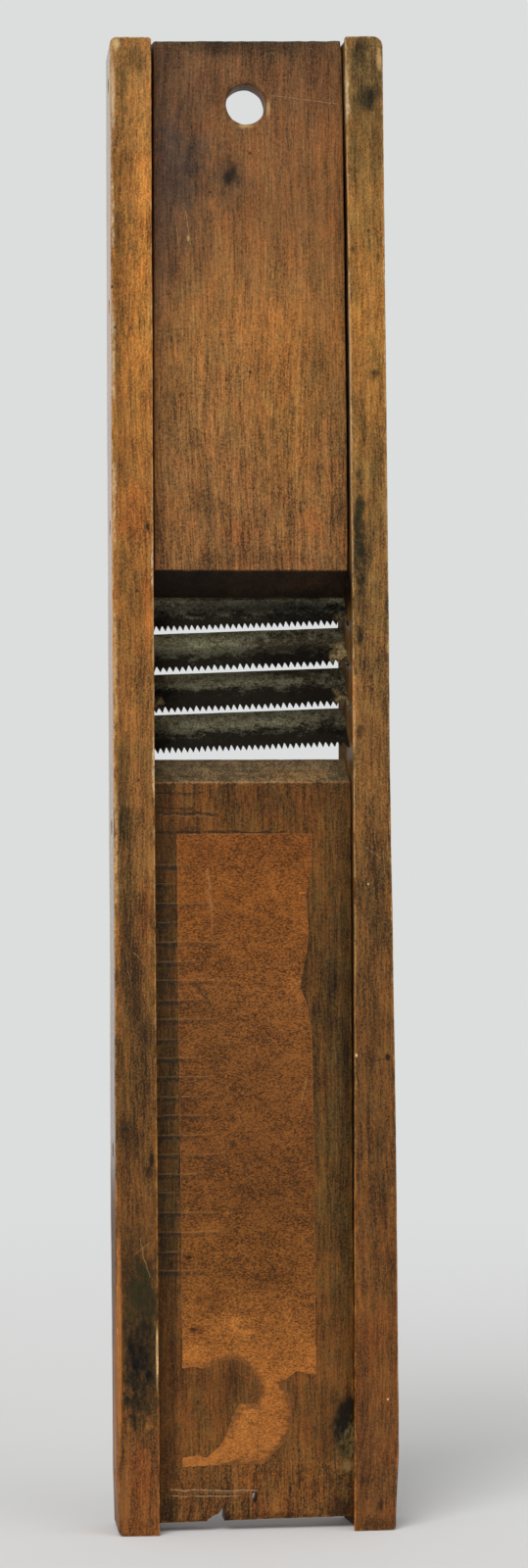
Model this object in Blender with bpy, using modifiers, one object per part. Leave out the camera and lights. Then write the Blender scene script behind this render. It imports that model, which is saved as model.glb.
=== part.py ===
# Wooden vegetable slicer: two rails, two boards, four toothed louvre blades, a paper label and nails.
# Metres, +Z up. It stands on the rails' ends, its front faces -Y, and its origin is on the floor
# in the middle of its footprint.

import math
import random

import bmesh
import bpy
from mathutils import Vector

MM = 0.001

# Rails and the channel between them
BODY_HEIGHT = 470.2 * MM            # floor to the top saw cut, measured at the middle
TOP_CUT_SLOPE = math.radians(1.15)  # the top was sawn a little out of square, higher on the right
RAIL_DEPTH = 25.4 * MM
LEFT_RAIL_WIDTH = 12.6 * MM
RIGHT_RAIL_TOP_WIDTH = 12.0 * MM
RIGHT_RAIL_FOOT_WIDTH = 12.7 * MM
CHANNEL_WIDTH = 62.0 * MM
RAIL_ARRIS_WEAR = 0.6 * MM
LEFT_RAIL_CORNER = 2.0 * MM         # rounding of the outer top corner
RIGHT_RAIL_CORNER = 3.2 * MM

# Boards
BOARD_RECESS = 6.35 * MM            # rail front to board front
BOARD_THICKNESS = 9.5 * MM
UPPER_BOARD_LEFT_GAP = 0.5 * MM     # along the rear edge
UPPER_BOARD_PLANED_TOP = 1.1 * MM   # more gap along the front edge, planed out of square
UPPER_BOARD_PLANED_FOOT = 0.4 * MM  # the same at the board's lower end
UPPER_BOARD_RIGHT_GAP = 0.5 * MM
LOWER_BOARD_LEFT_GAP = 0.3 * MM
LOWER_BOARD_RIGHT_GAP = 0.5 * MM
LOWER_BOARD_TOP = 241.9 * MM        # rear edge of its upper end
LOWER_BEVEL = 7.3 * MM              # the front edge is lower than the rear edge by this
UPPER_BEVEL = 8.0 * MM              # the front edge is higher than the rear edge by this
FOOT_RISE = 3.3 * MM                # floor to the lower board's bottom end
FOOT_CUT_SLOPE = math.radians(0.8)
BOARD_ARRIS_WEAR = 0.35 * MM

# Hanging hole
HANG_HOLE_DIAMETER = 12.9 * MM
HANG_HOLE_DROP = 20.2 * MM          # top saw cut to the hole's centre
HANG_HOLE_OFFSET = 0.1 * MM         # to the left of the channel's middle
HANG_HOLE_SIDES = 36

# Broken place at the lower board's bottom end
CHIP_WIDTH = 5.2 * MM
CHIP_HEIGHT = 6.6 * MM
CHIP_OFFSET = 10.0 * MM             # steep side, to the left of the channel's middle
KNOT_HOLE_WIDTH = 1.5 * MM
KNOT_HOLE_HEIGHT = 3.2 * MM
KNOT_HOLE_OFFSET = 0.4 * MM         # to the left of the channel's middle
KNOT_HOLE_RISE = 6.8 * MM           # board's bottom end to the hole's centre

# Blades
BLADE_COUNT = 4
BLADE_PITCH = 12.9 * MM
BLADE_WIDTH = 15.9 * MM             # tooth points to the plain edge
BLADE_THICKNESS = 0.9 * MM
BLADE_TILT = math.radians(38)       # from upright, plain edge to the rear
BLADE_SLOPE = math.radians(2.1)     # higher at the right
LAST_SLIT = 2.7 * MM                # lower board's rear edge to the lowest tooth points
BLADE_TUCK = 2.6 * MM               # how far the top blade reaches up behind the upper board
TOOTH_PITCH = 2.0 * MM
TOOTH_DEPTH = 1.85 * MM
TOOTH_SCATTER = 0.10                # share by which hand filing varies a tooth
KERF_DEPTH = 5.0 * MM               # how far a blade's slot goes into a rail

# Nails
NAIL_LENGTH = 31.8 * MM
NAIL_DIAMETER = 2.0 * MM
NAIL_HEAD_DIAMETER = 4.4 * MM
NAIL_HEAD_THICKNESS = 0.8 * MM
NAIL_POINT = 3.0 * MM
NAIL_SINK = 0.4 * MM                # head below the rail's outer face
NAIL_SIDES = 16
NAILS_PER_EDGE = 3
NAIL_END_MARGIN = 14.0 * MM         # board's end to the first nail

# Paper label
LABEL_WIDTH = 42.8 * MM
LABEL_HEIGHT = 198.0 * MM
LABEL_THICKNESS = 0.3 * MM
LABEL_DROP = 16.4 * MM              # lower board's front top edge to the label's top
LABEL_OFFSET = 2.2 * MM             # label's middle, to the left of the channel's middle
LABEL_EDGE_NOTCH = 3.6 * MM         # small tear in the right edge
LABEL_EDGE_NOTCH_DROP = 48.0 * MM   # label's top to that tear

CLEARANCE = 0.3 * MM                # round nails, round blades in their slots, behind the label
CUT_OVERRUN = 1.0 * MM              # how far a cutter stands out of the face that it cuts

# Worked out from the sizes above
TOTAL_WIDTH = LEFT_RAIL_WIDTH + CHANNEL_WIDTH + RIGHT_RAIL_FOOT_WIDTH
CHANNEL_LEFT = -TOTAL_WIDTH / 2 + LEFT_RAIL_WIDTH
CHANNEL_RIGHT = CHANNEL_LEFT + CHANNEL_WIDTH
CHANNEL_MIDDLE = (CHANNEL_LEFT + CHANNEL_RIGHT) / 2
RAIL_FRONT = -RAIL_DEPTH / 2
BOARD_FRONT = RAIL_FRONT + BOARD_RECESS
BOARD_REAR = BOARD_FRONT + BOARD_THICKNESS
BOARD_CORE = (BOARD_FRONT + BOARD_REAR) / 2
BLADE_RISE = BLADE_WIDTH * math.cos(BLADE_TILT)
BLADE_SETBACK = BLADE_WIDTH * math.sin(BLADE_TILT)
LOWEST_BLADE_TOP = LOWER_BOARD_TOP + LAST_SLIT + BLADE_RISE
HIGHEST_BLADE_TOP = LOWEST_BLADE_TOP + (BLADE_COUNT - 1) * BLADE_PITCH
UPPER_BOARD_BOTTOM = HIGHEST_BLADE_TOP - BLADE_TUCK
BLADE_END_LIFT = CHANNEL_WIDTH / 2 * math.tan(BLADE_SLOPE)
BLADE_REAR = (BOARD_REAR + CLEARANCE + BLADE_THICKNESS / 2 / math.cos(BLADE_TILT)
              + (BLADE_TUCK + BLADE_END_LIFT) * math.tan(BLADE_TILT))
BLADE_LENGTH = CHANNEL_WIDTH + 2 * (KERF_DEPTH - CLEARANCE)

for old_object in list(bpy.data.objects):
    bpy.data.objects.remove(old_object, do_unlink=True)


def new_collection(name, parent):
    collection = bpy.data.collections.new(name)
    parent.children.link(collection)
    return collection


slicer = new_collection("vegetable_slicer", bpy.context.scene.collection)
cutters = new_collection("cutters", bpy.context.scene.collection)


def make_material(name, color, roughness, metallic=0.0):
    material = bpy.data.materials.new(name)
    material.use_nodes = True
    shader = material.node_tree.nodes["Principled BSDF"]
    shader.inputs["Base Color"].default_value = (*color, 1.0)
    shader.inputs["Roughness"].default_value = roughness
    shader.inputs["Metallic"].default_value = metallic
    return material


def add_object(name, data, collection, material=None):
    new = bpy.data.objects.new(name, data)
    collection.objects.link(new)
    if material:
        data.materials.append(material)
    return new


def top_height(x):
    """Height of the saw cut across the top at x."""
    return BODY_HEIGHT + (x - CHANNEL_MIDDLE) * math.tan(TOP_CUT_SLOPE)


def foot_height(x):
    """Height of the lower board's bottom end at x."""
    return FOOT_RISE + (x - CHANNEL_MIDDLE) * math.tan(FOOT_CUT_SLOPE)


def right_rail_width(height):
    taper = (RIGHT_RAIL_TOP_WIDTH - RIGHT_RAIL_FOOT_WIDTH) / BODY_HEIGHT
    return RIGHT_RAIL_FOOT_WIDTH + taper * height


def shaped_block(corner):
    """A cube mesh whose eight corners are moved to corner(right, back, up), each flag True or False."""
    block = bmesh.new()
    bmesh.ops.create_cube(block, size=1.0)
    for vertex in block.verts:
        right, back, up = (value > 0 for value in vertex.co)
        vertex.co = Vector(corner(right, back, up))
    return block


def finish_mesh(name, block):
    mesh = bpy.data.meshes.new(name)
    block.to_mesh(mesh)
    block.free()
    return mesh


def round_top_corner(block, outer_sign, radius):
    """Round the rail's outer top edge, which runs front to back."""
    edges = []
    for edge in block.edges:
        first, second = (vertex.co for vertex in edge.verts)
        runs_back = abs(first.y - second.y) > RAIL_DEPTH / 2
        high = min(first.z, second.z) > BODY_HEIGHT / 2
        outer = min(first.x * outer_sign, second.x * outer_sign) > CHANNEL_WIDTH / 2 + LEFT_RAIL_WIDTH / 4
        if runs_back and high and outer:
            edges.append(edge)
    bmesh.ops.bevel(block, geom=edges, offset=radius, segments=5, profile=0.5, affect='EDGES')


def add_wear(target, width, segments=2):
    wear = target.modifiers.new("worn arrises", 'BEVEL')
    wear.width = width
    wear.segments = segments
    wear.limit_method = 'ANGLE'
    wear.angle_limit = math.radians(35)


def cut(target, group):
    """Cut every cutter of a collection out of the target."""
    hole = target.modifiers.new(f"cut {group.name}", 'BOOLEAN')
    hole.operation = 'DIFFERENCE'
    hole.solver = 'EXACT'
    hole.operand_type = 'COLLECTION'
    hole.collection = group


def add_cutter(name, data, group):
    cutter = add_object(name, data, group)
    cutter.hide_render = True
    cutter.display_type = 'WIRE'
    return cutter


# Rails
def left_rail_corner(right, back, up):
    x = CHANNEL_LEFT if right else CHANNEL_LEFT - LEFT_RAIL_WIDTH
    return x, RAIL_FRONT + RAIL_DEPTH * back, top_height(x) * up


def right_rail_corner(right, back, up):
    width = RIGHT_RAIL_TOP_WIDTH if up else RIGHT_RAIL_FOOT_WIDTH
    x = CHANNEL_RIGHT + width * right
    return x, RAIL_FRONT + RAIL_DEPTH * back, top_height(x) * up


def make_rail(name, corner, outer_sign, corner_radius, material):
    block = shaped_block(corner)
    round_top_corner(block, outer_sign, corner_radius)
    rail = add_object(name, finish_mesh(name, block), slicer, material)
    add_wear(rail, RAIL_ARRIS_WEAR)
    return rail


# Boards
def make_upper_board(material):
    left = CHANNEL_LEFT + UPPER_BOARD_LEFT_GAP
    right_edge = CHANNEL_RIGHT - UPPER_BOARD_RIGHT_GAP

    def corner(right, back, up):
        planed = UPPER_BOARD_PLANED_TOP if up else UPPER_BOARD_PLANED_FOOT
        x = right_edge if right else left + planed * (not back)
        y = BOARD_REAR if back else BOARD_FRONT
        low = UPPER_BOARD_BOTTOM if back else UPPER_BOARD_BOTTOM + UPPER_BEVEL
        return x, y, top_height(x) if up else low

    board = add_object("upper_board", finish_mesh("upper_board", shaped_block(corner)), slicer, material)
    add_wear(board, BOARD_ARRIS_WEAR, 1)
    return board


def make_lower_board(material):
    left = CHANNEL_LEFT + LOWER_BOARD_LEFT_GAP
    right_edge = CHANNEL_RIGHT - LOWER_BOARD_RIGHT_GAP

    def corner(right, back, up):
        x = right_edge if right else left
        y = BOARD_REAR if back else BOARD_FRONT
        high = LOWER_BOARD_TOP if back else LOWER_BOARD_TOP - LOWER_BEVEL
        return x, y, high if up else foot_height(x)

    board = add_object("lower_board", finish_mesh("lower_board", shaped_block(corner)), slicer, material)
    add_wear(board, BOARD_ARRIS_WEAR, 1)
    return board


def make_hole_cutter(group):
    shape = bmesh.new()
    radius = HANG_HOLE_DIAMETER / 2
    bmesh.ops.create_cone(shape, cap_ends=True, segments=HANG_HOLE_SIDES, radius1=radius, radius2=radius,
                          depth=BOARD_THICKNESS + 2 * CUT_OVERRUN)
    cutter = add_cutter("hang_hole_cutter", finish_mesh("hang_hole_cutter", shape), group)
    cutter.rotation_euler = (math.pi / 2, 0, 0)
    x = CHANNEL_MIDDLE - HANG_HOLE_OFFSET
    cutter.location = (x, BOARD_CORE, top_height(x) - HANG_HOLE_DROP)


def outline_curve(name, points, thickness):
    """A flat plate lying in its own XY plane, centred on it in thickness."""
    curve = bpy.data.curves.new(name, 'CURVE')
    curve.dimensions = '2D'
    curve.fill_mode = 'BOTH'
    curve.extrude = thickness / 2
    spline = curve.splines.new('POLY')
    spline.points.add(len(points) - 1)
    for point, (x, y) in zip(spline.points, points):
        point.co = (x, y, 0, 1)
    spline.use_cyclic_u = True
    return curve


def curve_to_mesh(name, curve):
    """The filled curve as one closed mesh."""
    holder = bpy.data.objects.new(f"{name}_outline", curve)
    bpy.context.scene.collection.objects.link(holder)
    depsgraph = bpy.context.evaluated_depsgraph_get()
    mesh = bpy.data.meshes.new_from_object(holder.evaluated_get(depsgraph))
    bpy.data.objects.remove(holder)
    shape = bmesh.new()
    shape.from_mesh(mesh)
    bmesh.ops.remove_doubles(shape, verts=shape.verts, dist=0.001 * MM)
    bmesh.ops.recalc_face_normals(shape, faces=shape.faces)
    shape.to_mesh(mesh)
    shape.free()
    mesh.name = name
    return mesh


def make_chip_cutter(group):
    """A splinter broken out of the bottom end, steep on its right side."""
    x = CHANNEL_MIDDLE - CHIP_OFFSET
    points = [(0, -CUT_OVERRUN), (0, 0), (0.15 * CHIP_WIDTH, CHIP_HEIGHT),
              (-0.3 * CHIP_WIDTH, 0.45 * CHIP_HEIGHT), (-CHIP_WIDTH, 0.12 * CHIP_HEIGHT),
              (-CHIP_WIDTH, -CUT_OVERRUN)]
    outline = outline_curve("chip_cutter", points, BOARD_THICKNESS + 2 * CUT_OVERRUN)
    cutter = add_cutter("chip_cutter", curve_to_mesh("chip_cutter", outline), group)
    cutter.rotation_euler = (math.pi / 2, 0, 0)
    cutter.location = (x, BOARD_CORE, foot_height(x))


def make_knot_hole_cutter(group):
    shape = bmesh.new()
    bmesh.ops.create_cone(shape, cap_ends=True, segments=12, radius1=0.5, radius2=0.5, depth=1.0)
    for vertex in shape.verts:
        x, y, z = vertex.co
        vertex.co = (x * KNOT_HOLE_WIDTH, y * KNOT_HOLE_HEIGHT, z * (BOARD_THICKNESS + 2 * CUT_OVERRUN))
    cutter = add_cutter("knot_hole_cutter", finish_mesh("knot_hole_cutter", shape), group)
    cutter.rotation_euler = (math.pi / 2, 0, 0)
    x = CHANNEL_MIDDLE - KNOT_HOLE_OFFSET
    cutter.location = (x, BOARD_CORE, foot_height(x) + KNOT_HOLE_RISE)


# Blades
def blade_outline(seed):
    """Blade in its own XY plane: the plain edge is at y = 0, the tooth points are at y = -BLADE_WIDTH."""
    dice = random.Random(seed)
    teeth = round(BLADE_LENGTH / TOOTH_PITCH)
    step = BLADE_LENGTH / teeth
    notch = ((0.0, 0.0), (0.24, 0.62), (0.5, 1.0), (0.76, 0.62))
    points = [(BLADE_LENGTH / 2, 0.0), (-BLADE_LENGTH / 2, 0.0)]
    for tooth in range(teeth):
        depth = TOOTH_DEPTH * (1 + TOOTH_SCATTER * dice.uniform(-1, 1))
        shift = step * TOOTH_SCATTER * dice.uniform(-1, 1)
        for along, inward in notch:
            slide = shift if inward else 0.0
            x = -BLADE_LENGTH / 2 + (tooth + along) * step + slide
            points.append((x, -BLADE_WIDTH + inward * depth))
    points.append((BLADE_LENGTH / 2, -BLADE_WIDTH))
    return points


def blade_place(target, index):
    """Set a piece drawn like a blade into the place of blade number index, counted from the top."""
    top = HIGHEST_BLADE_TOP - index * BLADE_PITCH
    target.rotation_euler = (math.pi / 2 - BLADE_TILT, -BLADE_SLOPE, 0)
    target.location = (CHANNEL_MIDDLE, BLADE_REAR, top)


def make_blade(index, material):
    name = f"blade_{index + 1}"
    mesh = curve_to_mesh(name, outline_curve(name, blade_outline(index + 11), BLADE_THICKNESS))
    blade = add_object(name, mesh, slicer, material)
    blade_place(blade, index)
    return blade


def make_kerf_cutter(index, group):
    """The slots in both rails that one blade sits in, as one long box."""
    half_length = BLADE_LENGTH / 2 + CLEARANCE
    half_thickness = BLADE_THICKNESS / 2 + CLEARANCE

    def corner(right, back, up):
        x = half_length if right else -half_length
        y = CLEARANCE if back else -BLADE_WIDTH - CLEARANCE
        return x, y, half_thickness if up else -half_thickness

    name = f"kerf_cutter_{index + 1}"
    cutter = add_cutter(name, finish_mesh(name, shaped_block(corner)), group)
    blade_place(cutter, index)


# Nails
def nail_profile(clearance, head_reach):
    """Half section of a nail, head upwards, from the axis outwards and down; head_reach lengthens the head."""
    head = NAIL_HEAD_DIAMETER / 2 + clearance
    shank = NAIL_DIAMETER / 2 + clearance
    under_head = -NAIL_HEAD_THICKNESS - clearance
    tip = -NAIL_LENGTH - clearance
    return [(0, head_reach), (head, head_reach), (head, under_head), (shank, under_head),
            (shank, tip + NAIL_POINT), (0, tip)]


def turned_mesh(name, profile):
    mesh = bpy.data.meshes.new(name)
    vertices = [(radius, 0, height) for radius, height in profile]
    mesh.from_pydata(vertices, [(i, i + 1) for i in range(len(vertices) - 1)], [])
    return mesh


def add_turning(target):
    turning = target.modifiers.new("turned", 'SCREW')
    turning.steps = NAIL_SIDES
    turning.render_steps = NAIL_SIDES
    turning.use_merge_vertices = True
    turning.merge_threshold = 0.01 * MM


def nail_heights(low, high):
    first = low + NAIL_END_MARGIN
    last = high - NAIL_END_MARGIN
    return [first + (last - first) * i / (NAILS_PER_EDGE - 1) for i in range(NAILS_PER_EDGE)]


def nail_place(target, side, height):
    outer = CHANNEL_LEFT - LEFT_RAIL_WIDTH if side < 0 else CHANNEL_RIGHT + right_rail_width(height)
    target.rotation_euler = (0, side * math.pi / 2, 0)
    target.location = (outer - side * NAIL_SINK, BOARD_CORE, height)


def make_nails(board, heights, rails, first_number, nail_mesh, bore_mesh):
    for side, side_name in ((-1, "left"), (1, "right")):
        bores = new_collection(f"{side_name} bores of {board.name}", cutters)
        for number, height in enumerate(heights, first_number):
            nail = add_object(f"{side_name}_nail_{number}", nail_mesh, slicer)
            add_turning(nail)
            nail_place(nail, side, height)
            bore = add_cutter(f"{side_name}_bore_{number}", bore_mesh, bores)
            add_turning(bore)
            nail_place(bore, side, height)
        cut(rails[side], bores)
        cut(board, bores)


# Label
def arc(middle, reach, start, end, steps):
    """Points on an ellipse between two angles in degrees."""
    angles = [math.radians(start + (end - start) * step / steps) for step in range(steps + 1)]
    return [(middle[0] + reach[0] * math.cos(a), middle[1] + reach[1] * math.sin(a)) for a in angles]


def label_outline():
    """Torn outline, from the top left corner at the origin, anticlockwise. Shares of width and height."""
    left_edge = [(0.0, 0.0), (0.015, -0.845), (0.17, -0.845)]
    worn_patch = arc((0.36, -0.885), (0.225, 0.053), 125, -20, 9)
    tongue_left = [(0.44, -0.90), (0.36, -0.927), (0.27, -0.967), (0.166, -0.985), (0.015, -0.985)]
    bottom = [(0.015, -1.0), (0.62, -1.0)]
    tongue_right = arc((0.60, -0.92), (0.22, 0.064), -65, 50, 6)
    right_edge = [(0.85, -0.853), (1.0, -0.859)]
    shares = left_edge + worn_patch + tongue_left + bottom + tongue_right + right_edge
    points = [(x * LABEL_WIDTH, y * LABEL_HEIGHT) for x, y in shares]
    reach = LABEL_EDGE_NOTCH * 2
    for rise, depth in ((-reach, 0.0), (0.0, LABEL_EDGE_NOTCH), (reach, 0.3 * LABEL_EDGE_NOTCH)):
        points.append((LABEL_WIDTH - depth, -LABEL_EDGE_NOTCH_DROP + rise))
    points.append((LABEL_WIDTH, 0.0))
    return points


def make_label(material):
    mesh = curve_to_mesh("instruction_label",
                         outline_curve("instruction_label", label_outline(), LABEL_THICKNESS))
    label = add_object("instruction_label", mesh, slicer, material)
    label.rotation_euler = (math.pi / 2, 0, 0)
    label.location = (CHANNEL_MIDDLE - LABEL_OFFSET - LABEL_WIDTH / 2,
                      BOARD_FRONT - CLEARANCE - LABEL_THICKNESS / 2,
                      LOWER_BOARD_TOP - LOWER_BEVEL - LABEL_DROP)
    return label


rail_wood = make_material("rail wood", (0.27, 0.13, 0.05), 0.55)
upper_wood = make_material("upper board wood", (0.17, 0.065, 0.025), 0.5)
lower_wood = make_material("lower board wood", (0.14, 0.06, 0.025), 0.55)
blade_steel = make_material("blade steel", (0.05, 0.05, 0.04), 0.5, 0.8)
nail_steel = make_material("nail steel", (0.09, 0.06, 0.045), 0.6, 0.7)
label_paper = make_material("label paper", (0.30, 0.12, 0.035), 0.75)

left_rail = make_rail("left_rail", left_rail_corner, -1, LEFT_RAIL_CORNER, rail_wood)
right_rail = make_rail("right_rail", right_rail_corner, 1, RIGHT_RAIL_CORNER, rail_wood)
upper_board = make_upper_board(upper_wood)
lower_board = make_lower_board(lower_wood)

hanging = new_collection("hanging hole", cutters)
make_hole_cutter(hanging)
cut(upper_board, hanging)

damage = new_collection("damage", cutters)
make_chip_cutter(damage)
make_knot_hole_cutter(damage)
cut(lower_board, damage)

kerfs = new_collection("kerfs", cutters)
for blade_index in range(BLADE_COUNT):
    make_blade(blade_index, blade_steel)
    make_kerf_cutter(blade_index, kerfs)
cut(left_rail, kerfs)
cut(right_rail, kerfs)

nail_shape = turned_mesh("nail", nail_profile(0, 0))
nail_shape.materials.append(nail_steel)
nail_shape.shade_smooth()
bore_shape = turned_mesh("nail_bore", nail_profile(CLEARANCE, NAIL_SINK + CUT_OVERRUN))
rail_of_side = {-1: left_rail, 1: right_rail}
upper_heights = nail_heights(UPPER_BOARD_BOTTOM + UPPER_BEVEL, BODY_HEIGHT)
lower_heights = nail_heights(FOOT_RISE, LOWER_BOARD_TOP - LOWER_BEVEL)
make_nails(upper_board, upper_heights[::-1], rail_of_side, 1, nail_shape, bore_shape)
make_nails(lower_board, lower_heights[::-1], rail_of_side, 1 + NAILS_PER_EDGE, nail_shape, bore_shape)
make_label(label_paper)
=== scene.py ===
import math
import random

import bmesh
import bpy
from mathutils import Matrix, Vector, noise


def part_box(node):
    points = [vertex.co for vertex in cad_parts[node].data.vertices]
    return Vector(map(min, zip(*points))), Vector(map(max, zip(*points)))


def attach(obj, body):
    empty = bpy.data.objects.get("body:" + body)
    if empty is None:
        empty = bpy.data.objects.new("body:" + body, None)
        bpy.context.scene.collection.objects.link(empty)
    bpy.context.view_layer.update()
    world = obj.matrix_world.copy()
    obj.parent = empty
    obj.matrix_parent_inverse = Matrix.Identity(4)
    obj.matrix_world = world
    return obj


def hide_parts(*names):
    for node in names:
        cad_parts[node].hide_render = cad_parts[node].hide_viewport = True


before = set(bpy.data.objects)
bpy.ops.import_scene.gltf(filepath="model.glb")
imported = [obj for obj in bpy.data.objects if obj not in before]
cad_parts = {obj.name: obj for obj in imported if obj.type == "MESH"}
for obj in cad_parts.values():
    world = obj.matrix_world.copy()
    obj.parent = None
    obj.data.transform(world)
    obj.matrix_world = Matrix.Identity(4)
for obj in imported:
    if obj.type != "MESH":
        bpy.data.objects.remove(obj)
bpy.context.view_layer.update()        # every size below is in millimetres, in the frame's own axes
mm = 0.001
print("frame loaded:", len(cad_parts), "nodes")


def span(name):
    low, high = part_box(name)
    return low / mm, high / mm


# what all the wooden pieces share
slicer = {
    "middle": -0.05, "height": 470.2, "topSlope": 1.15, "footSlope": 0.8, "footRise": 3.3,
    "channelBow": ((0, 0.35), (0.25, 0.58), (0.5, 0.9), (0.64, 0.88), (0.8, 0.78), (0.93, 0.5), (1, 0.3)),
    "channelLean": 1.1, "leftBow": 0.28, "leftRoom": 0.06,
}
leftRailSide = span("left_rail")[1].x
channelRight = span("right_rail")[0].x
boardFront = span("upper_board")[0].y
railFront, railBack = (corner.y for corner in span("left_rail"))


def topAt(x):
    return slicer["height"] + (x - slicer["middle"]) * math.tan(math.radians(slicer["topSlope"]))


def footAt(x):
    return slicer["footRise"] + (x - slicer["middle"]) * math.tan(math.radians(slicer["footSlope"]))


def mix(a, b, share):
    return a + (b - a) * share


def between(stops, where):
    # value at this place along stops of (place, value), straight from one stop to the next
    for (start, low), (end, high) in zip(stops, stops[1:]):
        if where <= end:
            return mix(low, high, min(max((where - start) / (end - start), 0.0), 1.0))
    return stops[-1][1]


def channelSide(y, z):
    # the channel's right side: spread outwards in front, most of all two thirds of the way up,
    # and leaning inwards behind the boards' faces
    share = min(max(z / slicer["height"], 0.0), 1.0)
    bow = between(slicer["channelBow"], share)
    behind = min(max((y - boardFront) / (railBack - boardFront), 0.0), 1.0)
    return channelRight + mix(bow, -slicer["channelLean"], behind)


def channelLeft(z):
    # the channel's left side, which bows outwards with the left rail
    return leftRailSide - slicer["leftBow"] * math.sin(math.pi * z / slicer["height"])


def smooth(value, low, high):
    share = min(max((value - low) / (high - low), 0.0), 1.0)
    return share * share * (3 - 2 * share)


# node helpers, used for materials and for Geometry Nodes
def isSocket(value):
    return isinstance(value, bpy.types.NodeSocket)


def wire(value, socket):
    if isSocket(value):
        socket.id_data.links.new(value, socket)
    else:
        socket.default_value = value


def put(kind, feeds, tree=None, **settings):
    # a new node, in the tree that its feeds come from unless another is given
    tree = tree or next(feed.id_data for feed in feeds.values() if isSocket(feed))
    made = tree.nodes.new(kind)
    for name, value in settings.items():
        setattr(made, name, value)
    for name, value in feeds.items():
        wire(value, made.inputs[name])
    return made


def calc(operation, *values, clamp=False):
    return put("ShaderNodeMath", dict(enumerate(values)), operation=operation, use_clamp=clamp).outputs[0]


def sumNode(operation):
    return lambda *values, clamp=False: calc(operation, *values, clamp=clamp)


times, plus, minus = sumNode("MULTIPLY"), sumNode("ADD"), sumNode("SUBTRACT")
over, timesPlus = sumNode("DIVIDE"), sumNode("MULTIPLY_ADD")


def vecCalc(operation, *values):
    made = put("ShaderNodeVectorMath", dict(enumerate(values)), operation=operation)
    return made.outputs["Value" if operation in ("LENGTH", "DOT_PRODUCT") else "Vector"]


def parts(vector):
    return put("ShaderNodeSeparateXYZ", {0: vector}).outputs


def vector(**axes):
    return put("ShaderNodeCombineXYZ", axes).outputs[0]


def scaled(value, amount):
    return put("ShaderNodeVectorMath", {0: value, "Scale": amount}, operation="SCALE").outputs[0]


def stored(tree, name):
    # a number that the mesh stores for each of its points
    return put("ShaderNodeAttribute", {}, tree, attribute_name=name).outputs["Fac"]


def softStep(value, low, high, toLow=0.0, toHigh=1.0):
    feeds = {"Value": value, "From Min": low, "From Max": high, "To Min": toLow, "To Max": toHigh}
    return put("ShaderNodeMapRange", feeds, interpolation_type="SMOOTHSTEP").outputs["Result"]


def cloud(place, lump, detail=2.0, rough=0.5, shift=(0, 0, 0)):
    # noise whose lumps are about this many millimetres along x, y and z
    moved = vecCalc("ADD", vecCalc("DIVIDE", place, [size * mm for size in lump]), shift)
    feeds = {"Vector": moved, "Scale": 1.0, "Detail": detail, "Roughness": rough}
    return put("ShaderNodeTexNoise", feeds).outputs["Fac"]


def tint(base, colour, amount, how="MIX"):
    feeds = {0: amount, 6: base, 7: colour if isSocket(colour) else (*colour, 1.0)}
    return put("ShaderNodeMix", feeds, data_type="RGBA", blend_type=how).outputs[2]


def newGroup(name, inputs, outputs, kind="ShaderNodeTree"):
    # an input is given by the kind of its socket, or by the value that it starts with
    tree = bpy.data.node_groups.new(name, kind)
    kinds = {float: "NodeSocketFloat", int: "NodeSocketInt", tuple: "NodeSocketVector"}
    for label, value in inputs.items():
        socket = tree.interface.new_socket(label, in_out="INPUT", socket_type=kinds.get(type(value), value))
        if type(value) in kinds:
            socket.default_value = value
    for label in outputs:
        made = "NodeSocketGeometry" if label == "Geometry" else "NodeSocketFloat"
        tree.interface.new_socket(label, in_out="OUTPUT", socket_type=made)
    return tree, tree.nodes.new("NodeGroupInput").outputs, tree.nodes.new("NodeGroupOutput").inputs


def makeGrainGroup():
    # figure of close-grained wood: fibres and growth lines run up and down, along z
    tree, given, out = newGroup(
        "old grain", {"Vector": (0, 0, 0), "Shift": 0.0, "Rings": 0.5, "Ring Gap": 0.0012, "Mottle": 1.0},
        ["Tone", "Hue", "Fleck", "Pore", "Height"])
    moved = vecCalc("ADD", given["Vector"], vector(X=given["Shift"], Z=given["Shift"]))
    sway = cloud(moved, (45, 45, 120), 1.0)
    fibre = vecCalc("ADD", moved, vector(X=times(sway, 0.009)))
    line = cloud(fibre, (0.5, 0.5, 6), 2.0, 0.6)
    streak = cloud(fibre, (2.2, 2.2, 50), 3.0, 0.6)
    fleck = cloud(fibre, (0.42, 0.42, 0.95), 3.0, 0.7)
    dust = cloud(moved, (0.6, 0.6, 0.5), 3.0, 0.75)
    blotch = cloud(moved, (8, 8, 15), 3.0, 0.55)
    pore = softStep(cloud(fibre, (0.3, 0.3, 1.5), 1.0), 0.62, 0.78)
    across = over(parts(fibre)["X"], given["Ring Gap"])
    phase = timesPlus(across, math.tau, times(streak, 12.0))
    ring = times(calc("SINE", phase), times(given["Rings"], 0.14))
    tone = plus(0.5, times(ring, softStep(blotch, 0.40, 0.58)))
    for part, gain in ((line, 1.6), (streak, 1.2), (fleck, 1.8), (dust, 2.2)):
        tone = timesPlus(minus(part, 0.5), gain, tone)
    mottle = times(minus(blotch, 0.5), given["Mottle"])
    wire(timesPlus(mottle, 1.4, tone), out["Tone"])
    wire(softStep(cloud(moved, (5, 5, 9), 6.0, 0.72, (3, 0, 9)), 0.38, 0.62), out["Hue"])
    wire(fleck, out["Fleck"])
    wire(pore, out["Pore"])
    wire(timesPlus(pore, -0.5, timesPlus(line, 0.6, times(fleck, 0.5))), out["Height"])
    return tree


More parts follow.
